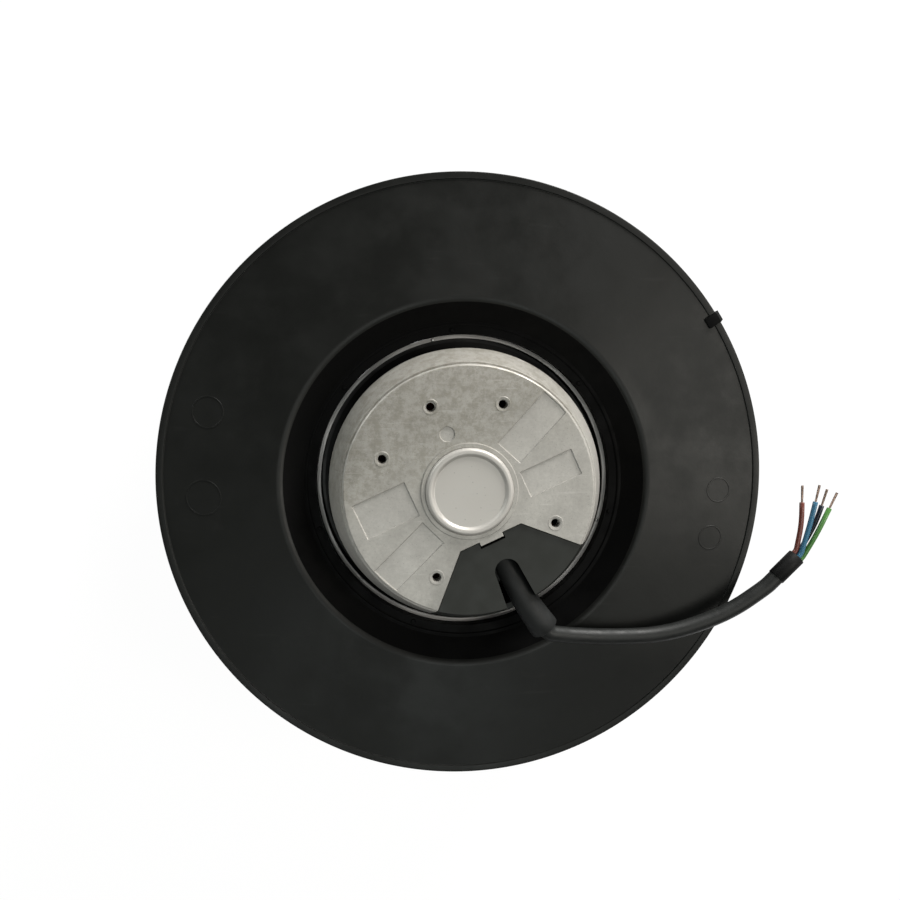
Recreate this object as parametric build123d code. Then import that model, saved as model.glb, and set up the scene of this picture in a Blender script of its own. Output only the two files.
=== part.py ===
from build123d import *
import os
from math import cos, hypot, radians, sin, tan

# A backward-curved centrifugal impeller on its external-rotor motor, in millimetres.
# The origin is the centre of the flange's mounting face and +Z points out of the flange.
# The motor, the impeller and its inlet lie below that face, and a depth is measured down from it.

# Clearances
press_gap = 0.05
seat_gap = 0.3
air_gap = 0.4

# Back plate of the impeller
impeller_radius = 112.5
back_thickness = 2.5
rim_depth = 23.0
rim_lip_width = 2.6
rim_lip_height = 0.8
crest_radius = 67.5
crest_depth = 16.5
crest_rounding = 3.5
recess_foot_radius = 58.4
ledge_depth = 23.0
hub_sleeve_wall = 2.6
hub_sleeve_length = 21.0

# Blades, at the slightly uneven pitch that keeps the impeller from singing one note
blade_angles = (41.0, 95.0, 141.5, 198.0, 250.5, 299.5, 348.5)
blade_thickness = 2.2
blade_wrap = 47.0
blade_bow = 5.5
blade_hub_radius = 62.0
blade_throat_inset = 1.6
blade_tip_inset = 1.0

# Shroud with the inlet collar
throat_radius = 69.0
inlet_collar_length = 4.1
outlet_width = 41.0
shroud_slope = 10.0
shroud_wall = 2.2
inlet_rounding = 14.0

# Balance clip on the rim
clip_angle = 33.3
clip_width = 4.0
clip_sheet = 0.6
clip_reach = 4.5
clip_bulge = 1.7

# Rotor can and what is pressed into it
can_radius = 54.8
can_wall = 1.4
can_mouth_depth = 27.5
can_floor_clearance = 2.2
can_dish_radius = 30.0
can_dish_drop = 1.2
can_corner_rounding = 4.0
rotor_ring_bore = 45.0
core_depth = 35.0
core_length = 24.0
cage_ring_height = 3.2
cage_ring_inset = 1.3
cage_bar_count = 16
cage_bar_width = 3.2
cage_bar_height = 4.6
bush_flange_radius = 12.0
bush_flange_height = 1.8
bush_spigot_radius = 8.0
bush_neck_radius = 5.8

# Shaft and bearings
shaft_radius = 4.0
shaft_overhang = 0.8
bearing_radius = 11.0
bearing_width = 7.0
bearing_inner_radius = 6.1
bearing_land_radius = 9.3
upper_bearing_depth = 5.2
clip_ring_thickness = 0.8
clip_ring_width = 2.0
clip_ring_groove = 0.4
clip_ring_opening = 70.0
washer_sheet = 0.6

# Cast flange with the bearing tube
flange_face_radius = 44.2
flange_edge_chamfer = 0.5
flange_thickness = 4.5
flange_step_depth = 2.5
flange_step_width = 0.9
skirt_radius = 49.8
skirt_wall = 2.6
skirt_cone_depth = 16.5
skirt_overlap = 2.0
tube_radius = 15.6
tube_reach = 1.0
tube_rim = 2.0
tube_shoulder = 1.3
collar_radius = 17.0
collar_height = 0.6
recess_drop = 0.5

# Mounting holes, with one larger hole on their circle between two of them
bolt_circle_radius = 32.5
bolt_count = 4
bolt_start_angle = 69.6
bolt_hole_radius = 1.65
extra_hole_angle = 115.2
extra_hole_radius = 1.825

# Shallow recesses in the face: centre X, centre Y, length, width and the angle of the length
face_recesses = (
    (21.6, 22.4, 24.0, 10.6, 48.4),
    (28.5, 6.4, 19.6, 9.6, 25.0),
    (-29.1, -6.8, 19.8, 12.8, 25.0),
    (-21.0, -23.2, 24.0, 10.4, 45.8),
)
dial_angle = 111.7
dial_centre_radius = 21.5
dial_radius = 2.6

# Pressed cap over the upper bearing
cap_radius = 15.4
cap_disc_radius = 11.8
cap_disc_height = 1.2
cap_bead_height = 2.2
cap_bead_slope = 1.1
cap_sheet = 1.2
cap_plug_depth = 3.0
cap_seat_depth = 1.0

# Cut-out of the flange and the plastic cover in it, both laid out along one radius
cover_angle = -65.1
cover_inner_edge = 18.0
cover_inner_half_width = 11.7
cover_flare = 45.0
cover_tab_half_width = 4.4
cover_tab_length = 1.5
cover_tab_gap = 1.0
cover_drop = 0.7
cover_sheet = 2.0
cover_side_depth = 8.0
slot_centre = 31.8
slot_offset = 0.5
slot_gap = 0.7
slot_flare = 5.0
slot_floor_depth = 10.0
cradle_inner_edge = 22.5
cradle_length = 14.0
cradle_wall = 2.0
cradle_depth = 12.5

# Laminated core with its winding and end plates
slot_count = 12
slot_inner_radius = 26.5
slot_inner_half_width = 3.6
slot_outer_half_width = 7.2
slot_lip = 1.4
slot_mouth_half_width = 1.1
winding_rise = 8.0
winding_slant = 2.0
winding_gap = 1.4
end_plate_thickness = 1.0
end_plate_collar_height = 6.0
end_plate_collar_wall = 1.8
cutout_angle = 150.0
cutout_length = 13.0
cutout_width = 6.0
cutout_height = 4.0
cutout_rounding = 1.2

# Cable, its sleeves and its four leads
cable_radius = 3.0
sleeve_radius = 3.8
sleeve_mouth_radius = 5.3
end_sleeve_radius = 3.3
lead_radius = 0.95
conductor_radius = 0.4
strip_length = 6.4
bend_share = 0.45

# The cable's route, from under the cover to its cut end, with one tight bend at its sleeve
cable_route = (
    (10.9, -21.0, -9.0),
    (17.3, -35.8, -5.0),
    (30.3, -53.8, -8.3),
    (40.0, -55.8, -11.4),
    (55.5, -57.1, -13.0),
    (76.0, -56.7, -13.7),
    (98.6, -49.3, -14.0),
    (113.6, -39.2, -14.2),
    (125.3, -27.4, -14.4),
)
tight_bend_radius = 7.0
sleeve_last_run = 1
sleeve_setback = 2.9
end_sleeve_length = 11.0

# Each lead: offset across the cable's end, offset upwards, a point half way and its tip
lead_routes = {
    "brown": (1.95, 0.25, (126.1, -15.0, -13.4), (125.5, -0.2, -13.0)),
    "blue": (0.1, 1.35, (129.3, -13.5, -12.6), (132.0, 0.0, -12.8)),
    "black": (-0.1, -1.3, (131.4, -15.5, -15.4), (135.4, -1.8, -14.0)),
    "green": (-1.9, 0.1, (132.6, -18.5, -13.2), (138.9, -2.9, -12.8)),
}
lead_first_run = 1.4
lead_bend_radius = 2.6

# Sizes that follow from those above
back_slope = (rim_depth - crest_depth) / (impeller_radius - crest_radius)
hub_bore = can_radius + press_gap
hub_outer_radius = hub_bore + hub_sleeve_wall
can_inner_radius = can_radius - can_wall
skirt_depth = can_mouth_depth + skirt_overlap
core_end_depth = core_depth + core_length
winding_end_depth = core_end_depth + winding_gap + winding_rise
can_floor_depth = winding_end_depth + can_floor_clearance + can_wall
tube_length = core_end_depth + tube_reach
stator_radius = rotor_ring_bore - air_gap
rotor_ring_radius = can_inner_radius - press_gap
upper_bearing_end = upper_bearing_depth + bearing_width
lower_bearing_end = tube_length - tube_rim
lower_bearing_depth = lower_bearing_end - bearing_width
shoulder_radius = bearing_radius - tube_shoulder
slot_half_width = sleeve_radius + slot_gap
dish_floor_depth = can_floor_depth + can_dish_drop
shaft_end_depth = dish_floor_depth + bush_flange_height + shaft_overhang
shroud_outlet_depth = rim_depth + back_thickness + outlet_width
shroud_rise = (impeller_radius - throat_radius) * tan(radians(shroud_slope))
shroud_corner_depth = shroud_outlet_depth + shroud_rise
inlet_rounding_depth = inlet_rounding * tan(radians((90 - shroud_slope) / 2))
inlet_depth = shroud_corner_depth + inlet_rounding_depth + inlet_collar_length


def parallel(points, distance):
    """An open outline moved to the right of its direction, with mitred corners."""
    normals = []
    for (x1, y1), (x2, y2) in zip(points, points[1:]):
        length = hypot(x2 - x1, y2 - y1)
        normals.append(((y2 - y1) / length, (x1 - x2) / length))
    befores = [normals[0]] + normals
    afters = normals + [normals[-1]]
    moved = []
    for (x, y), (ax, ay), (bx, by) in zip(points, befores, afters):
        scale = distance / (1 + ax * bx + ay * by)
        moved.append((x + (ax + bx) * scale, y + (ay + by) * scale))
    return moved


def rounded(face, corners):
    """A flat face with the corners nearest to (x, y) rounded by a radius each."""
    for x, y, radius in corners:
        corner = min(face.vertices(), key=lambda v: hypot(v.X - x, v.Y - y))
        face = fillet(corner, radius)
    return face


def revolved(outline, corners=()):
    """A solid of revolution about Z from an outline of (radius, height) points."""
    face = rounded(make_face(Polyline(*outline, close=True)), corners)
    return revolve(Plane.XZ * face, Axis.Z)


def ring(outer, inner, top, bottom):
    """A plain ring between two depths."""
    height = bottom - top
    return Pos(0, 0, -bottom) * extrude(Circle(outer) - Circle(inner), height)


def prism(face, top, bottom):
    """A flat shape drawn on XY, as a solid between two depths."""
    return Pos(0, 0, -bottom) * extrude(face, bottom - top)


def around(shape, angle):
    """A shape drawn along +X, turned about Z."""
    return Rot(0, 0, angle) * shape


def shape_of(points):
    """A flat face from its corners."""
    return make_face(Polyline(*points, close=True))


def evenly(count, start=0.0):
    """Angles at an even pitch."""
    return [start + 360.0 * i / count for i in range(count)]


def cut_out_outline(inset):
    """The flange's cut-out along +X, made smaller all round by an inset."""
    edge = cover_inner_edge + inset
    spread = inset / cos(radians(cover_flare)) - inset * tan(radians(cover_flare))
    half = cover_inner_half_width - spread
    reach = 2 * skirt_radius
    far = half + (reach - edge) * tan(radians(cover_flare))
    return shape_of([(edge, -half), (reach, -far), (reach, far), (edge, half)])


def cover_tab(extra_length, extra_width):
    """The tongue in the middle of the cut-out's inner edge."""
    length = cover_tab_length + extra_length
    width = 2 * (cover_tab_half_width + extra_width)
    return Pos(cover_inner_edge + length / 2, 0) * Rectangle(length, width)


def sector_solid(face, top, bottom):
    """A shape drawn along the cover's radius, as a solid between two depths."""
    return around(prism(face, top, bottom), cover_angle)


def make_flange():
    """The cast flange: face, step, conical skirt, labyrinth ring and bearing tube."""
    step_radius = flange_face_radius + flange_step_width
    outside = [
        (collar_radius, collar_height),
        (collar_radius, 0),
        (flange_face_radius - flange_edge_chamfer, 0),
        (flange_face_radius, -flange_edge_chamfer),
        (flange_face_radius, -flange_step_depth),
        (step_radius, -flange_step_depth),
        (skirt_radius, -skirt_cone_depth),
        (skirt_radius, -skirt_depth),
    ]
    inside = [
        (skirt_radius - skirt_wall, -skirt_depth),
        (skirt_radius - skirt_wall, -skirt_cone_depth),
        (step_radius - skirt_wall, -flange_thickness),
        (tube_radius, -flange_thickness),
        (tube_radius, -tube_length),
        (bearing_radius, -tube_length),
        (bearing_radius, -lower_bearing_depth),
        (shoulder_radius, -lower_bearing_depth),
        (shoulder_radius, -upper_bearing_end),
        (bearing_radius, -upper_bearing_end),
        (bearing_radius, -cap_seat_depth),
        (cap_radius + press_gap, -cap_seat_depth),
        (cap_radius + press_gap, collar_height),
    ]
    flange = revolved(outside + inside)
    hole = Pos(bolt_circle_radius, 0, 0) * prism(Circle(bolt_hole_radius), -1, skirt_depth)
    for angle in evenly(bolt_count, bolt_start_angle):
        flange -= around(hole, angle)
    extra_hole = prism(Circle(extra_hole_radius), -1, skirt_depth)
    flange -= around(Pos(bolt_circle_radius, 0, 0) * extra_hole, extra_hole_angle)
    for x, y, length, width, angle in face_recesses:
        pocket = prism(Rot(0, 0, angle) * Rectangle(length, width), 0, recess_drop)
        pocket = Pos(x, y, 0) * pocket
        flange -= pocket & ring(flange_face_radius - 1, collar_radius + 1, -1, 1)
    dial = prism(Circle(dial_radius), 0, recess_drop)
    flange -= around(Pos(dial_centre_radius, 0, 0) * dial, dial_angle)
    opening = cut_out_outline(0) - cover_tab(0, 0)
    return flange - sector_solid(opening, -1, skirt_cone_depth)


def make_bearing_cap():
    """The pressed cap over the upper bearing: a disc inside a bead, with a plug below."""
    seat = -(cap_seat_depth - press_gap)
    plug_radius = bearing_radius - press_gap
    outline = [
        (0, cap_disc_height),
        (cap_disc_radius, cap_disc_height),
        (cap_disc_radius + cap_bead_slope, cap_bead_height),
        (cap_radius - cap_bead_slope, cap_bead_height),
        (cap_radius, cap_bead_height - cap_bead_slope),
        (cap_radius, seat),
        (plug_radius, seat),
        (plug_radius, -cap_plug_depth),
        (plug_radius - cap_sheet, -cap_plug_depth),
        (plug_radius - cap_sheet, cap_disc_height - cap_sheet),
        (0, cap_disc_height - cap_sheet),
    ]
    return revolved(outline)


def make_preload_washer():
    """The spring washer between the cap's plug and the upper bearing's outer ring."""
    top = -(cap_plug_depth + press_gap)
    bottom = -(upper_bearing_depth - press_gap)
    outer = bearing_radius - 4 * press_gap
    inner = bearing_land_radius
    outline = [
        (inner, bottom),
        (inner + washer_sheet, bottom),
        (outer, top),
        (outer - washer_sheet, top),
    ]
    return revolved(outline)


def make_outer_ring(depth):
    """A bearing's outer ring, closed by its two shields."""
    lip = bearing_inner_radius + air_gap
    return ring(bearing_radius - press_gap, lip, depth, depth + bearing_width)


def make_inner_ring(depth):
    """A bearing's inner ring, on the shaft."""
    inner = shaft_radius + press_gap
    return ring(bearing_inner_radius, inner, depth, depth + bearing_width)


def core_slot(inset):
    """One winding slot of the core along +X, without its mouth."""
    outer = stator_radius - slot_lip - inset
    inner = slot_inner_radius + inset
    wide = slot_outer_half_width - inset
    narrow = slot_inner_half_width - inset
    return shape_of([(inner, -narrow), (outer, -wide), (outer, wide), (inner, narrow)])


def make_stator_core():
    """The laminated core, pressed on the bearing tube, with its slots open outwards."""
    section = Circle(stator_radius) - Circle(tube_radius + press_gap)
    mouth_centre = stator_radius - slot_lip / 2
    mouth = Pos(mouth_centre, 0) * Rectangle(2 * slot_lip, 2 * slot_mouth_half_width)
    slot = core_slot(0) + mouth
    cuts = Sketch() + [around(slot, angle) for angle in evenly(slot_count)]
    return prism(section - cuts, core_depth, core_end_depth)


def winding_end(near, far):
    """One ring of end turns, narrower at its far end."""
    outer = stator_radius - slot_lip
    inner = slot_inner_radius
    return revolved([
        (inner, -near),
        (outer, -near),
        (outer - winding_slant, -far),
        (inner + winding_slant, -far),
    ])


def make_winding():
    """The winding: two rings of end turns joined by the bars in the slots."""
    top = core_depth - winding_gap
    bottom = core_end_depth + winding_gap
    winding = winding_end(top, top - winding_rise)
    winding += winding_end(bottom, bottom + winding_rise)
    bar = prism(core_slot(seat_gap), top, bottom)
    for angle in evenly(slot_count):
        winding += around(bar, angle)
    return winding


def make_end_plate(core_face, direction):
    """The insulating plate on one end of the core, with a collar round the tube."""
    inner = tube_radius + seat_gap
    outer = slot_inner_radius - seat_gap
    near = core_face + direction * press_gap
    plate_end = near + direction * end_plate_thickness
    collar_end = near + direction * end_plate_collar_height
    collar_outer = outer
    collar_inner = outer - end_plate_collar_wall
    outline = [
        (inner, -near),
        (outer, -near),
        (collar_outer, -collar_end),
        (collar_inner, -collar_end),
        (collar_inner, -plate_end),
        (inner, -plate_end),
    ]
    return revolved(outline)


def make_thermal_cutout():
    """The thermal cut-out on the upper end turns."""
    depth = core_depth - winding_gap - winding_rise - seat_gap
    radius = (slot_inner_radius + stator_radius - slot_lip) / 2
    body = prism(Rectangle(cutout_width, cutout_length), depth - cutout_height, depth)
    body = chamfer(body.edges().group_by(Axis.Z)[-1], cutout_rounding)
    return around(Pos(radius, 0, 0) * body, cutout_angle)


def make_rotor_can():
    """The drawn steel can: open at the flange, with a dished floor at the inlet."""
    slope = can_dish_drop
    outside = [
        (can_radius, -can_mouth_depth),
        (can_radius, -can_floor_depth),
        (can_dish_radius + slope, -can_floor_depth),
        (can_dish_radius, -dish_floor_depth),
        (bush_spigot_radius + press_gap, -dish_floor_depth),
    ]
    inside = parallel(outside, can_wall)
    corner = (can_radius, -can_floor_depth, can_corner_rounding)
    return revolved(outside + inside[::-1], [corner])


def make_rotor_bush():
    """The bush that joins the can's floor to the shaft."""
    bore = shaft_radius + press_gap
    floor = dish_floor_depth - can_wall - press_gap
    outline = [
        (bore, -lower_bearing_end - press_gap),
        (bush_neck_radius, -lower_bearing_end - press_gap),
        (bush_neck_radius, -floor + bush_flange_height),
        (bush_flange_radius, -floor + bush_flange_height),
        (bush_flange_radius, -floor),
        (bush_spigot_radius, -floor),
        (bush_spigot_radius, -dish_floor_depth - bush_flange_height),
        (bore, -dish_floor_depth - bush_flange_height),
    ]
    return revolved(outline)


def cage_bar(gap):
    """The section of one bar of the rotor's cage, along +X."""
    centre = (rotor_ring_bore + rotor_ring_radius) / 2
    return Pos(centre, 0) * Rectangle(cage_bar_height + 2 * gap, cage_bar_width + 2 * gap)


def make_rotor_core():
    """The laminated ring in the can, with a slot for each bar of the cage."""
    section = Circle(rotor_ring_radius) - Circle(rotor_ring_bore)
    slots = Sketch() + [around(cage_bar(press_gap), angle) for angle in evenly(cage_bar_count)]
    return prism(section - slots, core_depth, core_end_depth)


def make_rotor_cage():
    """The cast cage: two end rings joined by its bars."""
    outer = rotor_ring_radius - cage_ring_inset
    inner = rotor_ring_bore + cage_ring_inset
    top = core_depth - press_gap
    bottom = core_end_depth + press_gap
    cage = ring(outer, inner, top - cage_ring_height, top)
    cage += ring(outer, inner, bottom, bottom + cage_ring_height)
    bar = prism(cage_bar(0), top - cage_ring_height / 2, bottom + cage_ring_height / 2)
    for angle in evenly(cage_bar_count):
        cage += around(bar, angle)
    return cage


def make_shaft():
    """The shaft, with the groove for its retaining ring."""
    top = -(cap_plug_depth + press_gap)
    groove_top = -(upper_bearing_depth - clip_ring_thickness - 2 * press_gap)
    groove_floor = shaft_radius - clip_ring_groove
    outline = [
        (0, top),
        (shaft_radius, top),
        (shaft_radius, groove_top),
        (groove_floor, groove_top),
        (groove_floor, -upper_bearing_depth),
        (shaft_radius, -upper_bearing_depth),
        (shaft_radius, -shaft_end_depth),
        (0, -shaft_end_depth),
    ]
    return revolved(outline)


def make_retaining_ring():
    """The snap ring in the shaft's groove, above the upper bearing's inner ring."""
    inner = shaft_radius - clip_ring_groove + press_gap
    bottom = upper_bearing_depth - press_gap
    band = ring(inner + clip_ring_width, inner, bottom - clip_ring_thickness, bottom)
    reach = 2 * (inner + clip_ring_width)
    side = reach * tan(radians(clip_ring_opening / 2))
    mouth = prism(shape_of([(0, 0), (reach, -side), (reach, side)]), 0, 2 * bottom)
    return band - mouth


def back_upper_line():
    """The back plate's upper face from its rim to the sleeve round the can."""
    return [
        (impeller_radius, -rim_depth),
        (crest_radius, -crest_depth),
        (recess_foot_radius, -ledge_depth),
        (hub_outer_radius, -ledge_depth),
    ]


def back_lower_line(gap=0.0):
    """The back plate's underside, or a line a gap below it."""
    lower = parallel(back_upper_line(), -back_thickness - gap)
    drop = (impeller_radius - lower[0][0]) * back_slope
    lower[0] = (impeller_radius, lower[0][1] - drop)
    return lower


def make_back_plate():
    """The back plate: rim lip, cone, rounded crest, recess, ledge and hub sleeve."""
    rim, crest, foot, ledge = back_upper_line()
    lip_inner = impeller_radius - rim_lip_width
    lip_foot = -rim_depth + back_slope * rim_lip_width
    outline = [
        (impeller_radius, -rim_depth + rim_lip_height),
        (lip_inner, -rim_depth + rim_lip_height),
        (lip_inner, lip_foot),
        crest,
        foot,
        (hub_bore, -ledge_depth),
        (hub_bore, -ledge_depth - hub_sleeve_length),
        (hub_outer_radius, -ledge_depth - hub_sleeve_length),
    ] + back_lower_line()[::-1]
    return revolved(outline, [(crest[0], crest[1], crest_rounding)])


def shroud_flow_line():
    """The shroud's inner face, from the edge of the inlet collar to the outlet."""
    return [
        (throat_radius, -inlet_depth),
        (throat_radius, -shroud_corner_depth),
        (impeller_radius, -shroud_outlet_depth),
    ]


def make_shroud():
    """The shroud: inlet collar, rounded throat and cone."""
    inner = shroud_flow_line()
    outer = parallel(inner, shroud_wall)
    corners = [
        (inner[1][0], inner[1][1], inlet_rounding),
        (outer[1][0], outer[1][1], inlet_rounding - shroud_wall),
    ]
    return revolved(inner + outer[::-1], corners)


def passage_face():
    """The section of the air passage that one blade fills, from its leading edge out."""
    tip = impeller_radius - blade_tip_inset
    top = back_lower_line(press_gap)
    flow = parallel(shroud_flow_line(), -press_gap)
    outline = flow + top[:3] + [(blade_hub_radius, top[2][1])]
    face = shape_of(outline)
    face = rounded(face, [(flow[1][0], flow[1][1], inlet_rounding + press_gap)])
    lead_top = (blade_hub_radius, -crest_depth)
    lead_bottom = (flow[1][0] + blade_throat_inset, -inlet_depth)
    blade_side = shape_of([lead_top, (tip, -crest_depth), (tip, -inlet_depth), lead_bottom])
    return face & blade_side


def make_blade():
    """One backward-curved blade, its leading edge on the plane Y = 0."""
    inner = 0.8 * blade_hub_radius
    outer = impeller_radius + 4
    start = Vector(inner, 0)
    end = Vector(outer, 0).rotate(Axis.Z, -blade_wrap)
    chord = (end - start).normalized()
    side = Vector(-chord.Y, chord.X)
    line = ThreePointArc(start, (start + end) * 0.5 + side * blade_bow, end)
    slab = prism(trace(line, blade_thickness), crest_depth, inlet_depth)
    return slab & revolve(Plane.XZ * passage_face(), Axis.Z)


def make_balance_clip():
    """The spring clip pushed over the rim to balance the impeller."""
    top = -rim_depth + rim_lip_height + press_gap
    bottom = back_lower_line()[0][1] - press_gap
    inner = impeller_radius - clip_reach
    web = impeller_radius + seat_gap
    outer = web + clip_bulge
    lower_rise = clip_reach * back_slope
    outline = [
        (inner, top + clip_sheet),
        (web, top + clip_sheet),
        (outer, top - clip_bulge),
        (outer, bottom + clip_bulge),
        (web, bottom - clip_sheet),
        (inner, bottom + lower_rise - clip_sheet),
        (inner, bottom + lower_rise),
        (web, bottom),
        (web, top),
        (inner, top),
    ]
    section = Plane.XZ * shape_of(outline)
    return around(extrude(section, clip_width / 2, both=True), clip_angle)


def bend_radii(points):
    """The radius of each bend of a route, as large as its two runs allow."""
    radii = []
    for before, corner, after in zip(points, points[1:], points[2:]):
        first = Vector(*corner) - Vector(*before)
        second = Vector(*after) - Vector(*corner)
        turn = radians(first.get_angle(second))
        shorter = min(first.length, second.length)
        radii.append(bend_share * shorter / tan(turn / 2))
    return radii


def tube(points, radii, outer, inner=0.0):
    """A round tube or bar along straight runs joined by arcs."""
    path = FilletPolyline(*points, radius=radii) if radii else Line(*points)
    start = Plane(origin=path @ 0, z_dir=path % 0)
    section = Circle(outer) - Circle(inner) if inner else Circle(outer)
    return sweep(start * section, path=path)


def boot(points, radii, first, last):
    """A round bar along a route that grows from one radius to another."""
    path = FilletPolyline(*points, radius=radii)
    near = Plane(origin=path @ 0, z_dir=path % 0) * Circle(first)
    far = Plane(origin=path @ 1, z_dir=path % 1) * Circle(last)
    return sweep([near, far], path=path, multisection=True)


def towards(start, end, distance):
    """The point at a distance from the first point on the way to the second."""
    step = Vector(*end) - Vector(*start)
    return tuple(Vector(*start) + step.normalized() * distance)


def make_cable():
    """The cable, and the radii of its bends."""
    radii = bend_radii(cable_route)
    radii[sleeve_last_run] = tight_bend_radius
    print("cable bends", [round(radius, 1) for radius in radii])
    return tube(cable_route, radii, cable_radius), radii


def sleeve_course(radii):
    """The points and the bends of the sleeve round the start of the cable."""
    first = cable_route[:sleeve_last_run + 1]
    corner = cable_route[sleeve_last_run + 1]
    mouth = towards(corner, first[-1], sleeve_setback)
    return list(first) + [mouth], radii[:sleeve_last_run]


def make_cable_sleeve(course, radii):
    """The moulded sleeve round the start of the cable, wider towards its mouth."""
    bore = tube(course, radii, cable_radius + press_gap)
    return boot(course, radii, sleeve_radius, sleeve_mouth_radius) - bore


def make_end_sleeve():
    """The short sleeve round the cable's cut end."""
    before, end = cable_route[-2:]
    tail = towards(end, before, end_sleeve_length)
    return tube([tail, end], [], end_sleeve_radius, cable_radius + press_gap)


def make_lead(across, up, middle, tip):
    """One lead from the cable's end face, and its stripped conductor."""
    before, end = [Vector(*point) for point in cable_route[-2:]]
    along = (end - before).normalized()
    side = Vector(-along.Y, along.X, 0).normalized()
    rise = along.cross(side)
    start = end + side * across + rise * up
    bend = tuple(start + along * lead_first_run)
    strip = towards(tip, middle, strip_length)
    route = [tuple(start), bend, middle, strip]
    radii = bend_radii(route)
    radii[0] = lead_bend_radius
    lead = tube(route, radii, lead_radius)
    conductor = tube([strip, tip], [], conductor_radius)
    return lead, conductor


def make_cable_cover(sleeve_route, sleeve_radii):
    """The plastic cover in the flange's cut-out, with the cable's slot and cradle."""
    floor = skirt_cone_depth - seat_gap
    step_radius = flange_face_radius + flange_step_width
    run = (skirt_radius - step_radius) / (skirt_cone_depth - flange_step_depth)
    outside = [
        (cover_inner_edge / 2, -cover_drop),
        (flange_face_radius, -cover_drop),
        (step_radius, -flange_step_depth),
        (skirt_radius - run * seat_gap, -floor),
    ]
    inside = parallel(outside, cover_sheet)
    inside[-1] = (outside[-1][0] - cover_sheet / cos(radians(20)), -floor)
    skin = revolved(outside + inside[::-1])
    notch = cover_tab(cover_tab_gap, seat_gap)
    plan = cut_out_outline(seat_gap) - notch
    cover = skin & sector_solid(plan, -1, floor)
    sides = plan - cut_out_outline(seat_gap + cover_sheet)
    core = revolved([(0, 0), (inside[1][0], 0), (inside[2][0], inside[2][1]),
                     (inside[2][0], -cover_side_depth), (0, -cover_side_depth)])
    cover += sector_solid(sides, cover_drop + cover_sheet / 2, cover_side_depth) & core
    cradle = Rectangle(cradle_length, 2 * (slot_half_width + cradle_wall))
    cradle = Pos(cradle_inner_edge + cradle_length / 2, slot_offset) * cradle
    cover += sector_solid(cradle, cover_drop + cover_sheet / 2, cradle_depth)
    reach = skirt_radius + 5
    flare = slot_half_width + (reach - slot_centre) * tan(radians(slot_flare))
    slot = Circle(slot_half_width) + shape_of([
        (0, -slot_half_width),
        (reach - slot_centre, -flare),
        (reach - slot_centre, flare),
        (0, slot_half_width),
    ])
    cover -= sector_solid(Pos(slot_centre, slot_offset) * slot, -1, slot_floor_depth)
    first, last = sleeve_radius + seat_gap, sleeve_mouth_radius + seat_gap
    channel = boot(sleeve_route, sleeve_radii, first, last)
    inward = towards(sleeve_route[0], sleeve_route[1], -2 * cable_radius)
    return cover - channel - tube([inward, sleeve_route[0]], [], first)


def main():
    """Build every piece and write each one to its own file."""
    cable, radii = make_cable()
    sleeve_route, sleeve_radii = sleeve_course(radii)
    pieces = {
        "stator_flange": make_flange(),
        "bearing_cap": make_bearing_cap(),
        "preload_washer": make_preload_washer(),
        "upper_bearing_outer_ring": make_outer_ring(upper_bearing_depth),
        "lower_bearing_outer_ring": make_outer_ring(lower_bearing_depth),
        "stator_core": make_stator_core(),
        "stator_winding": make_winding(),
        "upper_end_plate": make_end_plate(core_depth, -1),
        "lower_end_plate": make_end_plate(core_end_depth, 1),
        "thermal_cutout": make_thermal_cutout(),
        "cable_cover": make_cable_cover(sleeve_route, sleeve_radii),
        "motor_cable": cable,
        "cable_sleeve": make_cable_sleeve(sleeve_route, sleeve_radii),
        "cable_end_sleeve": make_end_sleeve(),
        "rotor_can": make_rotor_can(),
        "rotor_bush": make_rotor_bush(),
        "rotor_core": make_rotor_core(),
        "rotor_cage": make_rotor_cage(),
        "rotor_shaft": make_shaft(),
        "shaft_retaining_ring": make_retaining_ring(),
        "upper_bearing_inner_ring": make_inner_ring(upper_bearing_depth),
        "lower_bearing_inner_ring": make_inner_ring(lower_bearing_depth),
        "impeller_back_plate": make_back_plate(),
        "impeller_shroud": make_shroud(),
        "balance_clip": make_balance_clip(),
    }
    blade = make_blade()
    for number, angle in enumerate(blade_angles, start=1):
        pieces["impeller_blade_%d" % number] = around(blade, angle)
    for colour, route in lead_routes.items():
        lead, conductor = make_lead(*route)
        pieces["lead_" + colour] = lead
        pieces["conductor_" + colour] = conductor
    os.makedirs("parts", exist_ok=True)
    for name, shape in pieces.items():
        export_step(shape, "parts/%s.step" % name)


main()
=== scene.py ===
"""A centrifugal fan, flange side up: black impeller, external-rotor motor and its cable."""

import bmesh
import bpy
from math import atan2, cos, hypot, pi, radians, sin, tan
from mathutils import Matrix, Vector


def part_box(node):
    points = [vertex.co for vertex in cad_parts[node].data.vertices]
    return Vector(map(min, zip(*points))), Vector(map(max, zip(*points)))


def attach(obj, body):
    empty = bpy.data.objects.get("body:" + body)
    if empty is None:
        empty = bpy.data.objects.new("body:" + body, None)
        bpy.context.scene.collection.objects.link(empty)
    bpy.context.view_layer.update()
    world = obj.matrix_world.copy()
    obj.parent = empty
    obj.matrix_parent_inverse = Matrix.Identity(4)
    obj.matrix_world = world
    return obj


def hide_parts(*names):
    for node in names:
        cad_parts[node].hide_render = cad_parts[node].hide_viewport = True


bl_info = {
    "name": "Centrifugal fan",
    "version": (1, 0, 0),
    "blender": (4, 5, 0),
    "location": "3D View > Sidebar > Fan",
    "description": "Builds a backward-curved fan on its external-rotor motor",
    "category": "Add Mesh",
}

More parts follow.
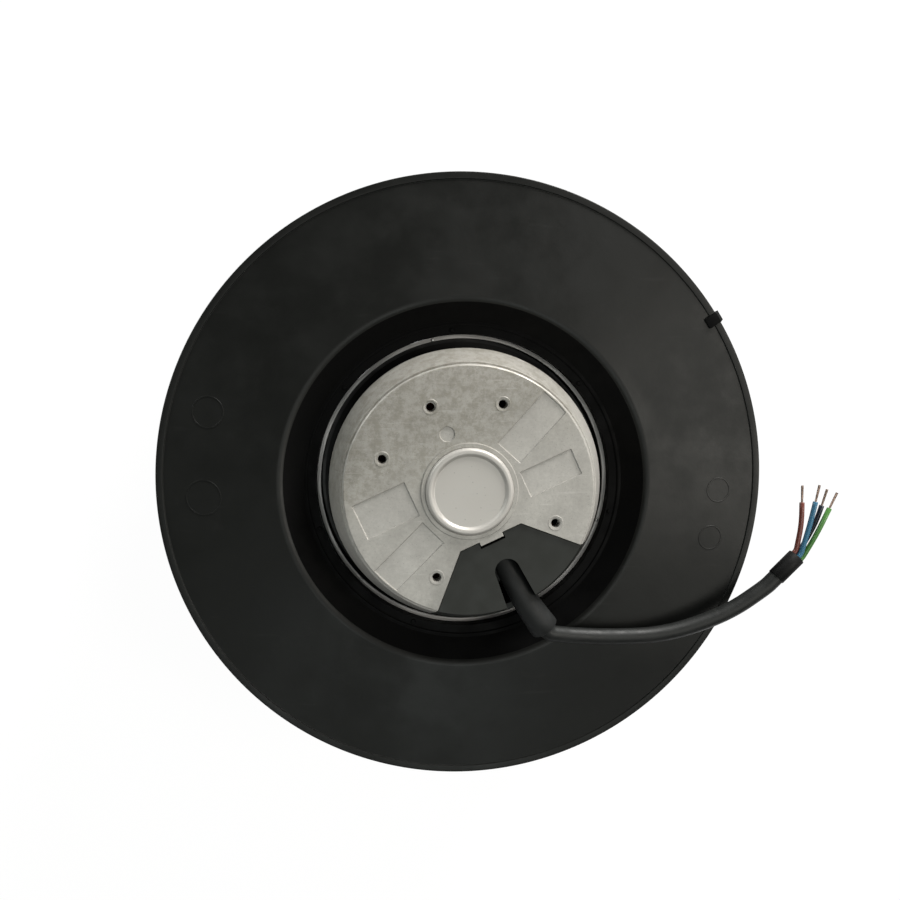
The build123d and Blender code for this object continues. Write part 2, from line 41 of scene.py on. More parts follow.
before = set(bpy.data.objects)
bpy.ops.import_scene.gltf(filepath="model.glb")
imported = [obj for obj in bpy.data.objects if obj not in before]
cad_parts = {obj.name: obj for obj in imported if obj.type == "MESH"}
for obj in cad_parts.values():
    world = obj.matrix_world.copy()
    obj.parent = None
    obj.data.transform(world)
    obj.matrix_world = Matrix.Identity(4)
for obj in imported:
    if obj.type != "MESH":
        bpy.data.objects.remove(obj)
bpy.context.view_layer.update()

ROTOR = "rotor"
STATOR = "stator"

# Driving sizes in metres, as the CAD model has them
IMPELLER_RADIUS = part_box("impeller_shroud")[1].x
INLET_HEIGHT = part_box("impeller_shroud")[0].z
CAN_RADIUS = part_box("rotor_can")[1].x
CAN_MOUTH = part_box("rotor_can")[1].z
HOLE_CIRCLE = 0.0325
SEAT_GAP = 0.00005

# Degrees round the rotor's axis
BLADE_ANGLES = (41.0, 95.0, 141.5, 198.0, 250.5, 299.5, 348.5)
HOLE_ANGLES = (69.6, 159.6, 249.6, 339.6, 115.2)
CAULK_ANGLES = (102.8, 224.3, 343.3)

# The cable's route, which is the CAD model's, in metres
CABLE_ROUTE = (
    (0.0109, -0.0210, -0.0090),
    (0.0173, -0.0358, -0.0050),
    (0.0303, -0.0538, -0.0083),
    (0.0400, -0.0558, -0.0114),
    (0.0555, -0.0571, -0.0130),
    (0.0760, -0.0567, -0.0137),
    (0.0986, -0.0493, -0.0140),
    (0.1136, -0.0392, -0.0142),
    (0.1253, -0.0274, -0.0144),
)

# The place in the route of its tight bend, and the stretch held straight on both its sides
TIGHT_BEND = 2
BEND_HOLD = 0.0035

# Each lead: offset across the cable's end, offset upwards, a point half way and its tip
LEADS = {
    "brown": (0.00195, 0.00025, (0.1261, -0.0150, -0.0134), (0.1255, -0.0002, -0.0130)),
    "blue": (0.0001, 0.00135, (0.1293, -0.0135, -0.0126), (0.1320, 0.0, -0.0128)),
    "black": (-0.0001, -0.0013, (0.1324, -0.0155, -0.0154), (0.1356, -0.0018, -0.0140)),
    "green": (-0.0019, 0.0001, (0.1319, -0.0185, -0.0128), (0.1389, -0.0029, -0.0128)),
}

# Round marks moulded in the back plate: centre X, centre Y and radius
PLATE_MARKS = (
    (-0.0933, 0.0260, 0.0060),
    (-0.0954, -0.0052, 0.0067),
    (0.0964, -0.0029, 0.0048),
    (0.0939, -0.0212, 0.0048),
)

# Each lamp: name, degrees round the axis, degrees above the floor, watts and colour
LAMPS = (
    ("Sheen light", 0.0, 48.0, 5.7, (1.0, 0.965, 0.89)),
    ("Low key light", 60.0, 11.0, 25.0, (1.0, 0.99, 0.96)),
    ("Top light", 0.0, 86.0, 0.6, (1.0, 0.98, 0.94)),
    ("Low rim light", 150.0, 11.0, 6.0, (0.96, 1.0, 0.97)),
    ("Fill light", 270.0, 66.0, 2.6, (0.94, 1.0, 0.96)),
)
LAMP_SIZE = 0.5
LAMP_DISTANCE = 1.2


# Materials


def grey(value, warmth=0.0):
    """A grey as a colour with alpha, warmer where warmth is above 0."""
    return (value * (1 + warmth), value, value * (1 - warmth), 1.0)


def shaded(color, share):
    """A colour made darker or lighter by a share."""
    return tuple(min(1.0, part * share) for part in color[:3]) + (1.0,)


class Surface:
    """A node material under construction, with short calls for the nodes it uses."""

    def __init__(self, name, color, roughness, metallic=0.0, coat=0.0, specular=0.5):
        self.material = bpy.data.materials.new(name)
        self.material.use_nodes = True
        self.material.diffuse_color = color
        self.tree = self.material.node_tree
        self.shader = self.tree.nodes["Principled BSDF"]
        self.shader.inputs["Base Color"].default_value = color
        self.shader.inputs["Roughness"].default_value = roughness
        self.shader.inputs["Metallic"].default_value = metallic
        self.shader.inputs["Coat Weight"].default_value = coat
        self.shader.inputs["Specular IOR Level"].default_value = specular
        self.place = self.node("ShaderNodeTexCoord").outputs["Object"]
        self.height = None

    def node(self, kind, **inputs):
        """A new node with input values or links given by socket name."""
        made = self.tree.nodes.new(kind)
        for socket, value in inputs.items():
            self.feed(made.inputs[socket.replace("_", " ")], value)
        return made

    def feed(self, socket, value):
        """Link a socket to an output, or set it to a plain value."""
        if isinstance(value, bpy.types.NodeSocket):
            self.tree.links.new(value, socket)
        else:
            socket.default_value = value

    def math(self, operation, first, second=0.5):
        """The result of one Math node."""
        made = self.tree.nodes.new("ShaderNodeMath")
        made.operation = operation
        for socket, value in zip(made.inputs, (first, second)):
            self.feed(socket, value)
        return made.outputs[0]

    def stretched(self, x, y, z):
        """The object's coordinates, scaled along each axis."""
        made = self.node("ShaderNodeMapping", Vector=self.place)
        made.inputs["Scale"].default_value = (x, y, z)
        return made.outputs["Vector"]

    def noise(self, scale, detail=3.0, rough=0.55, vector=None):
        """Noise from 0 to 1, its scale in features per metre."""
        place = vector if vector is not None else self.place
        made = self.node("ShaderNodeTexNoise", Vector=place, Scale=scale, Detail=detail,
                         Roughness=rough)
        return made.outputs[0]

    def cells(self, scale):
        """The distance to the nearest of many scattered points."""
        return self.node("ShaderNodeTexVoronoi", Vector=self.place, Scale=scale).outputs[0]

    def ramp(self, value, low, high, start=0.0, end=1.0):
        """A value moved smoothly from one range to another, clamped."""
        made = self.tree.nodes.new("ShaderNodeMapRange")
        made.interpolation_type = "SMOOTHSTEP"
        for socket, given in zip(made.inputs, (value, low, high, start, end)):
            self.feed(socket, given)
        return made.outputs[0]

    def mix(self, share, first, second):
        """A colour between two others."""
        made = self.tree.nodes.new("ShaderNodeMix")
        made.data_type = "RGBA"
        self.feed(made.inputs[0], share)
        self.feed(made.inputs[6], first)
        self.feed(made.inputs[7], second)
        return made.outputs[2]

    def axes(self):
        """The place along X, Y and Z."""
        return self.node("ShaderNodeSeparateXYZ", Vector=self.place).outputs

    def radius(self):
        """The distance from the rotor's axis."""
        x, y, _ = self.axes()
        squares = self.math("ADD", self.math("MULTIPLY", x, x), self.math("MULTIPLY", y, y))
        return self.math("SQRT", squares)

    def level(self):
        """The height above the flange's face."""
        return self.axes()[2]

    def color(self, value):
        """Give the shader its colour."""
        self.feed(self.shader.inputs["Base Color"], value)

    def roughness(self, value):
        """Give the shader its roughness."""
        self.feed(self.shader.inputs["Roughness"], value)

    def bump(self, height, distance, strength):
        """Add relief, its depth in metres, to the relief so far."""
        made = self.node("ShaderNodeBump", Height=height, Distance=distance, Strength=strength)
        if self.height is not None:
            self.tree.links.new(self.height, made.inputs["Normal"])
        self.height = made.outputs[0]
        self.tree.links.new(self.height, self.shader.inputs["Normal"])


def cast_metal(name, color):
    """Die-cast aluminium: dull, with a stained side, fine pits and a fine grain."""
    skin = Surface(name, color, 0.5, metallic=0.3)
    patches = skin.noise(60, 6, 0.7)
    tone = skin.mix(skin.ramp(patches, 0.3, 0.7), shaded(color, 0.88), shaded(color, 1.08))
    # The floors of the shallow fields, half a millimetre under the face, stay brighter
    under_face = skin.ramp(skin.level(), -0.00042, -0.0002, 1.0, 0.0)
    over_side = skin.ramp(skin.level(), -0.0008, -0.0006)
    floors = skin.math("MULTIPLY", under_face, over_side)
    # The stain lies towards the back left, with a cloudy border and darker spots
    x, y, _ = skin.axes()
    side = skin.math("SUBTRACT", y, skin.math("MULTIPLY", x, 0.45))
    side = skin.math("ADD", side, skin.math("MULTIPLY", skin.noise(60, 5, 0.65), 0.03))
    spots = skin.ramp(skin.noise(260, 9, 0.8), 0.38, 0.64)
    stain = skin.ramp(side, 0.012, 0.04, 0.0, 0.7)
    stain = skin.math("MULTIPLY", stain, skin.ramp(spots, 0.0, 1.0, 0.35, 1.0))
    stain = skin.math("MULTIPLY", stain, skin.ramp(floors, 0.0, 1.0, 1.0, 0.3))
    tone = skin.mix(stain, tone, (0.205, 0.19, 0.15, 1.0))
    mottle = skin.ramp(skin.noise(800, 8, 0.85), 0.34, 0.66, 0.0, 0.3)
    tone = skin.mix(mottle, tone, grey(0.2, 0.05))
    tone = skin.mix(skin.math("MULTIPLY", floors, 0.12), tone, grey(0.62, 0.03))
    scratches = skin.noise(40, 3, 0.6, skin.stretched(1.0, 14.0, 1.0))
    tone = skin.mix(skin.ramp(scratches, 0.6, 0.72, 0.0, 0.13), tone, grey(0.8, 0.02))
    pits = skin.ramp(skin.cells(900), 0.08, 0.2, 1.0, 0.0)
    skin.color(skin.mix(skin.math("MULTIPLY", pits, 0.3), tone, grey(0.1)))
    skin.roughness(skin.ramp(patches, 0.3, 0.7, 0.56, 0.44))
    skin.bump(skin.noise(420, 4, 0.6), 0.0001, 0.5)
    skin.bump(skin.noise(1600, 2, 0.5), 0.00003, 0.6)
    return skin.material


def pressed_metal(name, color, roughness, metallic=0.85):
    """Pressed sheet: even, with a light haze and tiny scuffs."""
    skin = Surface(name, color, roughness, metallic=metallic)
    haze = skin.noise(130, 4, 0.6)
    tone = skin.mix(haze, shaded(color, 0.86), color)
    scratches = skin.noise(50, 4, 0.65, skin.stretched(1.0, 12.0, 1.0))
    tone = skin.mix(skin.ramp(scratches, 0.6, 0.72, 0.0, 0.25), tone, grey(0.36, 0.03))
    specks = skin.ramp(skin.cells(420), 0.05, 0.13, 0.35, 0.0)
    skin.color(skin.mix(specks, tone, grey(0.12)))
    skin.roughness(skin.ramp(haze, 0.3, 0.7, roughness - 0.03, roughness + 0.12))
    skin.bump(skin.noise(1300, 3, 0.5), 0.00002, 0.6)
    return skin.material


def turned_metal(name, color, roughness=0.28):
    """Turned steel or aluminium, with fine rings round the axis."""
    skin = Surface(name, color, roughness, metallic=1.0)
    rings = skin.noise(2600, 1, 0.4, skin.stretched(0.02, 0.02, 1.0))
    skin.color(skin.mix(rings, shaded(color, 0.85), color))
    skin.roughness(skin.ramp(skin.noise(300), 0.3, 0.7, roughness, roughness + 0.12))
    skin.bump(rings, 0.00001, 0.5)
    return skin.material


def impeller_plastic(name, color):
    """Glass-filled black plastic: silky, with flow marks, a little dust and fine scuffs."""
    skin = Surface(name, color, 0.45, specular=0.3)
    flow = skin.noise(26, 6, 0.65)
    grain = skin.noise(700, 3, 0.6)
    dust = skin.ramp(skin.noise(85, 7, 0.75), 0.55, 0.82, 0.0, 0.35)
    tone = skin.mix(flow, shaded(color, 0.7), color)
    tone = skin.mix(dust, tone, grey(0.018, 0.03))
    scuffs = skin.ramp(skin.noise(30, 4, 0.6, skin.stretched(1.0, 9.0, 1.0)), 0.64, 0.74, 0.0, 0.3)
    skin.color(skin.mix(skin.math("MULTIPLY", scuffs, flow), tone, grey(0.03, 0.02)))
    skin.roughness(skin.ramp(flow, 0.35, 0.65, 0.4, 0.54))
    skin.bump(grain, 0.00004, 0.5)
    skin.bump(skin.noise(60, 3), 0.00025, 0.35)
    return skin.material


def recess_shade_plastic(name):
    """Painted shade: a deep black with little sheen for the shade inside the plate's recess."""
    skin = Surface(name, grey(0.0015), 0.6, specular=0.07)
    skin.roughness(skin.ramp(skin.noise(120, 4), 0.3, 0.7, 0.5, 0.7))
    skin.bump(skin.noise(700, 3, 0.6), 0.00004, 0.5)
    return skin.material


def moulded_plastic(name, color, roughness, specular=0.5):
    """Plain moulded plastic with a fine grain."""
    skin = Surface(name, color, roughness, specular=specular)
    cloud = skin.noise(140, 4, 0.6)
    skin.color(skin.mix(cloud, shaded(color, 0.8), color))
    skin.roughness(skin.ramp(cloud, 0.3, 0.7, roughness - 0.06, roughness + 0.08))
    skin.bump(skin.noise(2200, 3, 0.6), 0.00003, 0.5)
    return skin.material


def can_steel(name, color):
    """Black-coated steel whose cut edge at the mouth is bare."""
    skin = Surface(name, color, 0.42, specular=0.2)
    coat_end = CAN_MOUTH - 0.0011
    bare_start = CAN_MOUTH - 0.0006
    bare = skin.ramp(skin.level(), coat_end, bare_start)
    cloud = skin.noise(90, 4)
    coat = skin.mix(cloud, shaded(color, 0.7), color)
    skin.color(skin.mix(bare, coat, grey(0.42, 0.02)))
    skin.feed(skin.shader.inputs["Metallic"], skin.math("MULTIPLY", bare, 0.2))
    skin.roughness(skin.ramp(cloud, 0.3, 0.7, 0.36, 0.5))
    skin.bump(skin.noise(900, 3), 0.00003, 0.5)
    return skin.material


def laminated_steel(name, color):
    """Stacked sheets, one thin line for each along the axis."""
    skin = Surface(name, color, 0.45, metallic=0.6)
    sheet_pitch = 0.0006
    sheets = skin.math("SINE", skin.math("MULTIPLY", skin.level(), 2 * pi / sheet_pitch))
    edge = skin.ramp(sheets, -0.9, -0.2)
    skin.color(skin.mix(edge, grey(0.03), color))
    skin.roughness(skin.ramp(skin.noise(220), 0.3, 0.7, 0.38, 0.55))
    skin.bump(edge, 0.00006, 0.6)
    return skin.material


def wound_copper(name, color):
    """Enamelled wire, as fine turns round each bundle."""
    skin = Surface(name, color, 0.3, metallic=0.7, coat=0.4)
    wire_pitch = 0.0007
    turns = skin.math("SINE", skin.math("MULTIPLY", skin.radius(), 2 * pi / wire_pitch))
    gap = skin.ramp(turns, -0.95, -0.1)
    patches = skin.noise(120, 4)
    tone = skin.mix(patches, shaded(color, 0.6), color)
    skin.color(skin.mix(gap, grey(0.02), tone))
    skin.bump(gap, 0.0002, 0.7)
    return skin.material


def cable_rubber(name, color, roughness, ripple, specular=0.3):
    """Extruded rubber with a dull bloom and, where asked, ripples along its length."""
    skin = Surface(name, color, roughness, specular=specular)
    bloom = skin.noise(210, 5, 0.65)
    skin.color(skin.mix(bloom, shaded(color, 0.7), shaded(color, 1.25)))
    skin.roughness(skin.ramp(bloom, 0.3, 0.7, roughness - 0.08, roughness + 0.08))
    skin.bump(skin.noise(1500, 3, 0.6), 0.00004, 0.6)
    skin.bump(skin.noise(260, 2), ripple, 0.5)
    return skin.material


def lead_plastic(name, color, stripe=None):
    """Extruded lead insulation, with a second colour along it where given."""
    skin = Surface(name, color, 0.38, coat=0.15)
    cloud = skin.noise(400, 3)
    tone = skin.mix(cloud, shaded(color, 0.75), color)
    if stripe:
        side = skin.node("ShaderNodeSeparateXYZ", Vector=skin.node("ShaderNodeUVMap").outputs[0])
        tone = skin.mix(skin.ramp(side.outputs[0], 0.62, 0.66), tone, stripe)
    skin.color(tone)
    skin.bump(skin.noise(1800, 2), 0.00002, 0.5)
    return skin.material


def bare_copper(name, color):
    """Drawn copper strands, a little dulled."""
    skin = Surface(name, color, 0.32, metallic=1.0)
    cloud = skin.noise(900, 4)
    skin.color(skin.mix(cloud, shaded(color, 0.6), color))
    skin.roughness(skin.ramp(cloud, 0.3, 0.7, 0.26, 0.45))
    return skin.material


# Meshes


def rounded_outline(points, steps=6):
    """An outline of (radius, height) points; a third number rounds that corner."""
    made = []
    count = len(points)
    for i, point in enumerate(points):
        here = Vector(point[:2])
        if len(point) < 3:
            made.append(here)
            continue
        to_last = (Vector(points[i - 1][:2]) - here).normalized()
        to_next = (Vector(points[(i + 1) % count][:2]) - here).normalized()
        half = to_last.angle(to_next) / 2
        reach = point[2] / tan(half)
        centre = here + (to_last + to_next).normalized() * (point[2] / sin(half))
        first = here + to_last * reach - centre
        last = here + to_next * reach - centre
        turn = first.angle_signed(last)
        for k in range(steps + 1):
            angle = -turn * k / steps
            spin = Matrix.Rotation(angle, 2)
            made.append(centre + spin @ first)
    return [(p.x, p.y) for p in made]


def revolve_mesh(outline, segments):
    """A bmesh turned about Z from a closed outline; a radius of 0 lies on the axis."""
    bm = bmesh.new()
    rings = []
    on_axis = 1e-7
    for radius, height in outline:
        if radius < on_axis:
            rings.append([bm.verts.new((0, 0, height))])
            continue
        rings.append([
            bm.verts.new((radius * cos(2 * pi * k / segments),
                          radius * sin(2 * pi * k / segments), height))
            for k in range(segments)
        ])
    for first, second in zip(rings, rings[1:] + rings[:1]):
        if len(first) == 1 and len(second) == 1:
            continue
        for k in range(segments):
            n = (k + 1) % segments
            if len(first) == 1:
                bm.faces.new((first[0], second[k], second[n]))
            elif len(second) == 1:
                bm.faces.new((first[k], second[0], first[n]))
            else:
                bm.faces.new((first[k], second[k], second[n], first[n]))
    return bm


def tube_mesh(points, outer, inner=0.0, sides=40, rounding=0.0003, mouth=None):
    """A bmesh tube or rod along points, with rounded ends; mouth is its last outer radius."""
    bm = bmesh.new()
    places = [Vector(p) for p in points]
    direction = (places[1] - places[0]).normalized()
    across = direction.orthogonal().normalized()
    rows = []
    spans = [0.0]
    for a, b in zip(places, places[1:]):
        spans.append(spans[-1] + (b - a).length)
    growth = (mouth - outer) / spans[-1] if mouth else 0.0

    def row(place, radius):
        turned = direction.cross(across)
        rows.append([
            bm.verts.new(place + (across * cos(2 * pi * k / sides)
                                  + turned * sin(2 * pi * k / sides)) * radius)
            for k in range(sides)
        ])

    for i, place in enumerate(places):
        if 0 < i < len(places) - 1:
            direction = (places[i + 1] - places[i - 1]).normalized()
        elif i:
            direction = (places[i] - places[i - 1]).normalized()
        across = (across - direction * across.dot(direction)).normalized()
        radius = outer + growth * spans[i]
        if i == 0:
            row(place, radius - rounding)
            row(place + direction * rounding, radius)
        elif i == len(places) - 1:
            row(place - direction * rounding, radius)
            row(place, radius - rounding)
        else:
            row(place, radius)
    if inner:
        for i in range(len(places) - 1, -1, -1):
            direction = (places[min(i + 1, len(places) - 1)] - places[max(i - 1, 0)]).normalized()
            across = (across - direction * across.dot(direction)).normalized()
            row(places[i], inner)
        rows.append(rows[0])
    for first, second in zip(rows, rows[1:]):
        for k in range(sides):
            n = (k + 1) % sides
            bm.faces.new((first[k], first[n], second[n], second[k]))
    if not inner:
        bm.faces.new(rows[0][::-1])
        bm.faces.new(rows[-1])
    return bm


def softened_copy(node, width, sharp_angle=32.0, flat_angle=0.4):
    """A bmesh of a CAD node, merged, with its sharp edges rounded."""
    bm = bmesh.new()
    bm.from_mesh(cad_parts[node].data)
    bmesh.ops.remove_doubles(bm, verts=bm.verts, dist=2e-6)
    bmesh.ops.dissolve_limit(bm, angle_limit=radians(flat_angle), verts=bm.verts,
                             edges=bm.edges)
    sharp = [edge for edge in bm.edges if len(edge.link_faces) == 2
             and edge.calc_face_angle(0) > radians(sharp_angle)]
    bmesh.ops.bevel(bm, geom=sharp, offset=width, offset_type="OFFSET", segments=2,
                    profile=0.5, affect="EDGES", clamp_overlap=True)
    return bm


def solid(name, bm, material, body, replaces, smooth=35.0):
    """Turn a bmesh into a finished piece that rides on a body."""
    bmesh.ops.remove_doubles(bm, verts=bm.verts, dist=1e-7)
    bmesh.ops.recalc_face_normals(bm, faces=bm.faces)
    mesh = bpy.data.meshes.new(name)
    bm.to_mesh(mesh)
    bm.free()
    return placed(name, mesh, material, body, replaces, smooth)


def placed(name, mesh, material, body, replaces, smooth=35.0):
    """Put a mesh in the scene with its material, its body and its CAD nodes."""
    mesh.materials.clear()
    mesh.materials.append(material)
    mesh.shade_smooth()
    mesh.set_sharp_from_angle(angle=radians(smooth))
    piece = bpy.data.objects.new(name, mesh)
    bpy.context.scene.collection.objects.link(piece)
    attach(piece, body)
    if replaces:
        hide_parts(*replaces)
    return piece


def carried(node, material):
    """Show a CAD node as it is, with a material."""
    smooth = 30.0
    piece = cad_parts[node]
    piece.data.materials.clear()
    piece.data.materials.append(material)
    piece.data.shade_smooth()
    piece.data.set_sharp_from_angle(angle=radians(smooth))
    return piece


# Geometry Nodes


def new_tree(name, sizes):
    """A Geometry Nodes tree with a named input for each size."""
    tree = bpy.data.node_groups.new(name, "GeometryNodeTree")
    tree.interface.new_socket("Geometry", in_out="INPUT", socket_type="NodeSocketGeometry")
    for label, kind in sizes:
        tree.interface.new_socket(label, in_out="INPUT", socket_type="NodeSocket" + kind)
    tree.interface.new_socket("Geometry", in_out="OUTPUT", socket_type="NodeSocketGeometry")
    return tree, tree.nodes.new("NodeGroupInput"), tree.nodes.new("NodeGroupOutput")


def add_node(tree, kind, links=(), **settings):
    """A node in a tree, with (input, output or value) pairs and plain settings."""
    made = tree.nodes.new(kind)
    for key, value in settings.items():
        setattr(made, key, value)
    for socket, value in links:
        if isinstance(value, bpy.types.NodeSocket):
            tree.links.new(value, made.inputs[socket])
        else:
            made.inputs[socket].default_value = value
    return made


def end_tree(tree, output, geometry, material):
    """Close a tree with Realize Instances and Set Material."""
    whole = add_node(tree, "GeometryNodeRealizeInstances", [("Geometry", geometry)])
    painted = add_node(tree, "GeometryNodeSetMaterial",
                       [("Geometry", whole.outputs[0]), ("Material", material)])
    tree.links.new(painted.outputs[0], output.inputs[0])


def grown(name, tree, values, points=()):
    """The plain mesh that a tree makes from points and its named input values."""
    seed = bpy.data.meshes.new(name + "_points")
    seed.from_pydata([tuple(p) for p in points], [], [])
    carrier = bpy.data.objects.new(name + "_carrier", seed)
    bpy.context.scene.collection.objects.link(carrier)
    modifier = carrier.modifiers.new(name, "NODES")
    modifier.node_group = tree
    for item in tree.interface.items_tree:
        if item.in_out == "INPUT" and item.name in values:
            modifier[item.identifier] = values[item.name]
    bpy.context.view_layer.update()
    graph = bpy.context.evaluated_depsgraph_get()
    mesh = bpy.data.meshes.new_from_object(carrier.evaluated_get(graph))
    carrier.modifiers.remove(modifier)
    bpy.data.objects.remove(carrier)
    return mesh


def pip_tree(material):
    """Round pips stood on each point."""
    tree, given, output = new_tree("Ledge pips", [
        ("Radius", "Float"), ("Top radius", "Float"), ("Height", "Float")])
    pip = add_node(tree, "GeometryNodeMeshCone", [
        ("Vertices", 20), ("Radius Bottom", given.outputs["Radius"]),
        ("Radius Top", given.outputs["Top radius"]), ("Depth", given.outputs["Height"])])
    spread = add_node(tree, "GeometryNodeInstanceOnPoints", [
        ("Points", given.outputs["Geometry"]), ("Instance", pip.outputs[0])])
    end_tree(tree, output, spread.outputs[0], material)
    return tree


def thread_tree(material):
    """A thread's ridge, wound down the wall of each hole."""
    tree, given, output = new_tree("Hole threads", [
        ("Hole radius", "Float"), ("Depth", "Float"), ("Pitch", "Float"),
        ("Ridge radius", "Float")])
    turns = add_node(tree, "ShaderNodeMath", [
        (0, given.outputs["Depth"]), (1, given.outputs["Pitch"])], operation="DIVIDE")
    helix = add_node(tree, "GeometryNodeCurveSpiral", [
        ("Resolution", 24), ("Rotations", turns.outputs[0]),
        ("Start Radius", given.outputs["Hole radius"]),
        ("End Radius", given.outputs["Hole radius"]), ("Height", given.outputs["Depth"])])
    profile = add_node(tree, "GeometryNodeCurvePrimitiveCircle",
                       [("Resolution", 4), ("Radius", given.outputs["Ridge radius"])])
    ridge = add_node(tree, "GeometryNodeCurveToMesh", [
        ("Curve", helix.outputs[0]), ("Profile Curve", profile.outputs[0]), ("Fill Caps", True)])
    spread = add_node(tree, "GeometryNodeInstanceOnPoints", [
        ("Points", given.outputs["Geometry"]), ("Instance", ridge.outputs[0])])
    end_tree(tree, output, spread.outputs[0], material)
    return tree


def strand_tree(material):
    """Twisted strands round a straight one, opening a little at their tips."""
    tree, given, output = new_tree("Copper strands", [
        ("Strands", "Int"), ("Length", "Float"), ("Lay radius", "Float"),
        ("Tip radius", "Float"), ("Strand radius", "Float"), ("Turns", "Float")])
    profile = add_node(tree, "GeometryNodeCurvePrimitiveCircle", [
        ("Resolution", 8), ("Radius", given.outputs["Strand radius"])])
    spiral = add_node(tree, "GeometryNodeCurveSpiral", [
        ("Resolution", 20), ("Rotations", given.outputs["Turns"]),
        ("Start Radius", given.outputs["Lay radius"]),
        ("End Radius", given.outputs["Tip radius"]), ("Height", given.outputs["Length"])])
    strand = add_node(tree, "GeometryNodeCurveToMesh", [
        ("Curve", spiral.outputs[0]), ("Profile Curve", profile.outputs[0]), ("Fill Caps", True)])
    posts = add_node(tree, "GeometryNodePoints", [("Count", given.outputs["Strands"])])
    index = add_node(tree, "GeometryNodeInputIndex")
    share = add_node(tree, "ShaderNodeMath", [
        (0, 2 * pi), (1, given.outputs["Strands"])], operation="DIVIDE")
    turn = add_node(tree, "ShaderNodeMath", [
        (0, index.outputs[0]), (1, share.outputs[0])], operation="MULTIPLY")
    spin = add_node(tree, "ShaderNodeCombineXYZ", [("Z", turn.outputs[0])])
    ring = add_node(tree, "GeometryNodeInstanceOnPoints", [
        ("Points", posts.outputs[0]), ("Instance", strand.outputs[0]),
        ("Rotation", spin.outputs[0])])
    end_tree(tree, output, ring.outputs[0], material)
    return tree


# Sizes and colours that a user would change


def length(label, text, default):
    """A length that can be changed, in metres."""
    return bpy.props.FloatProperty(name=label, description=text, default=default,
                                   unit="LENGTH", min=0.0)


def slant(label, text, default):
    """An angle that can be changed, given here in degrees."""
    return bpy.props.FloatProperty(name=label, description=text, default=radians(default),
                                   subtype="ANGLE")


def paint(label, text, default):
    """A colour that can be changed."""
    return bpy.props.FloatVectorProperty(name=label, description=text, default=default,
                                         subtype="COLOR", size=4, min=0.0, max=1.0)


class ImpellerSettings(bpy.types.PropertyGroup):
    """The back plate's, the blades' and the shroud's sizes and colour."""

    crest_radius: length("Crest radius", "Radius of the back plate's highest ring", 0.0675)
    crest_height: length("Crest depth", "Depth of the crest below the flange's face", 0.0165)
    rim_depth: length("Rim depth", "Depth of the rim below the flange's face", 0.0230)
    plate_thickness: length("Plate thickness", "Thickness of the back plate", 0.0025)
    foot_radius: length("Recess foot", "Radius where the recess meets the ledge", 0.0584)
    hub_radius: length("Sleeve radius", "Outer radius of the sleeve round the can", 0.05745)
    hub_end: length("Sleeve end", "Depth of the sleeve's end", 0.0440)
    throat_radius: length("Throat radius", "Inner radius of the inlet collar", 0.0690)
    outlet_depth: length("Outlet depth", "Depth of the shroud's edge at the outlet", 0.0665)
    shroud_slope: slant("Shroud slope", "Slope of the shroud", 10.0)
    shroud_wall: length("Shroud wall", "Thickness of the shroud", 0.0022)
    inlet_rounding: length("Inlet rounding", "Inner radius of the shroud's throat", 0.0140)
    blade_thickness: length("Blade thickness", "Thickness of one blade", 0.0022)
    blade_wrap: slant("Blade wrap", "Angle one blade covers", 47.0)
    blade_bow: length("Blade bow", "Rise of a blade's arc over its chord", 0.0055)
    blade_hub_radius: length("Blade hub radius", "Radius where a blade starts", 0.0620)
    color: paint("Plastic", "Colour of the impeller", (0.0042, 0.0047, 0.0038, 1.0))


class MotorSettings(bpy.types.PropertyGroup):
    """The motor's sizes and colours, where it shows."""

    cap_radius: length("Cap radius", "Outer radius of the bearing cap", 0.0154)
    cap_height: length("Cap height", "Height of the cap's bead", 0.0022)
    edge_rounding: length("Cast rounding", "Rounding of the casting's edges", 0.00028)
    hole_radius: length("Hole radius", "Radius of the threaded holes", 0.00165)
    thread_pitch: length("Thread pitch", "Pitch of the thread in the holes", 0.0007)
    cast_color: paint("Casting", "Colour of the cast flange", (0.445, 0.43, 0.40, 1.0))
    cap_color: paint("Bearing cap", "Colour of the bearing cap", (0.53, 0.51, 0.48, 1.0))
    can_color: paint("Can", "Colour of the rotor can's coat", (0.004, 0.004, 0.004, 1.0))
    cover_color: paint("Cable cover", "Colour of the cable cover", (0.018, 0.0195, 0.0165, 1.0))


class CableSettings(bpy.types.PropertyGroup):
    """The cable's, its sleeves' and its leads' sizes and colours."""

    cable_radius: length("Cable radius", "Radius of the cable", 0.0030)
    sleeve_radius: length("Sleeve radius", "Radius of the sleeve inside the cover", 0.0038)
    sleeve_mouth: length("Sleeve mouth", "Radius of the sleeve at its outer end", 0.0053)
    sleeve_setback: length("Sleeve setback", "Distance from the sleeve's end to the bend", 0.0029)
    end_sleeve_radius: length("End sleeve radius", "Radius of the end sleeve", 0.0033)
    end_sleeve_length: length("End sleeve length", "Length of the end sleeve", 0.0110)
    lead_radius: length("Lead radius", "Radius of one lead", 0.00095)
    lead_first_run: length("Lead start", "Straight run of a lead from the cable", 0.0014)
    strip_length: length("Stripped length", "Length of bare copper", 0.0064)
    strand_radius: length("Strand radius", "Radius of one copper strand", 0.00017)
    lay_radius: length("Lay radius", "Radius that the strands are laid on", 0.00024)
    tip_radius: length("Tip radius", "Radius that the strands open to", 0.00034)
    jacket_color: paint("Jacket", "Colour of the cable", (0.013, 0.014, 0.0135, 1.0))
    sleeve_color: paint("Exit sleeve", "Colour of the sleeve at the exit", (0.015, 0.016, 0.016, 1.0))
    end_color: paint("End sleeve", "Colour of the sleeve at the cut end", (0.005, 0.005, 0.005, 1.0))


# Cable pieces


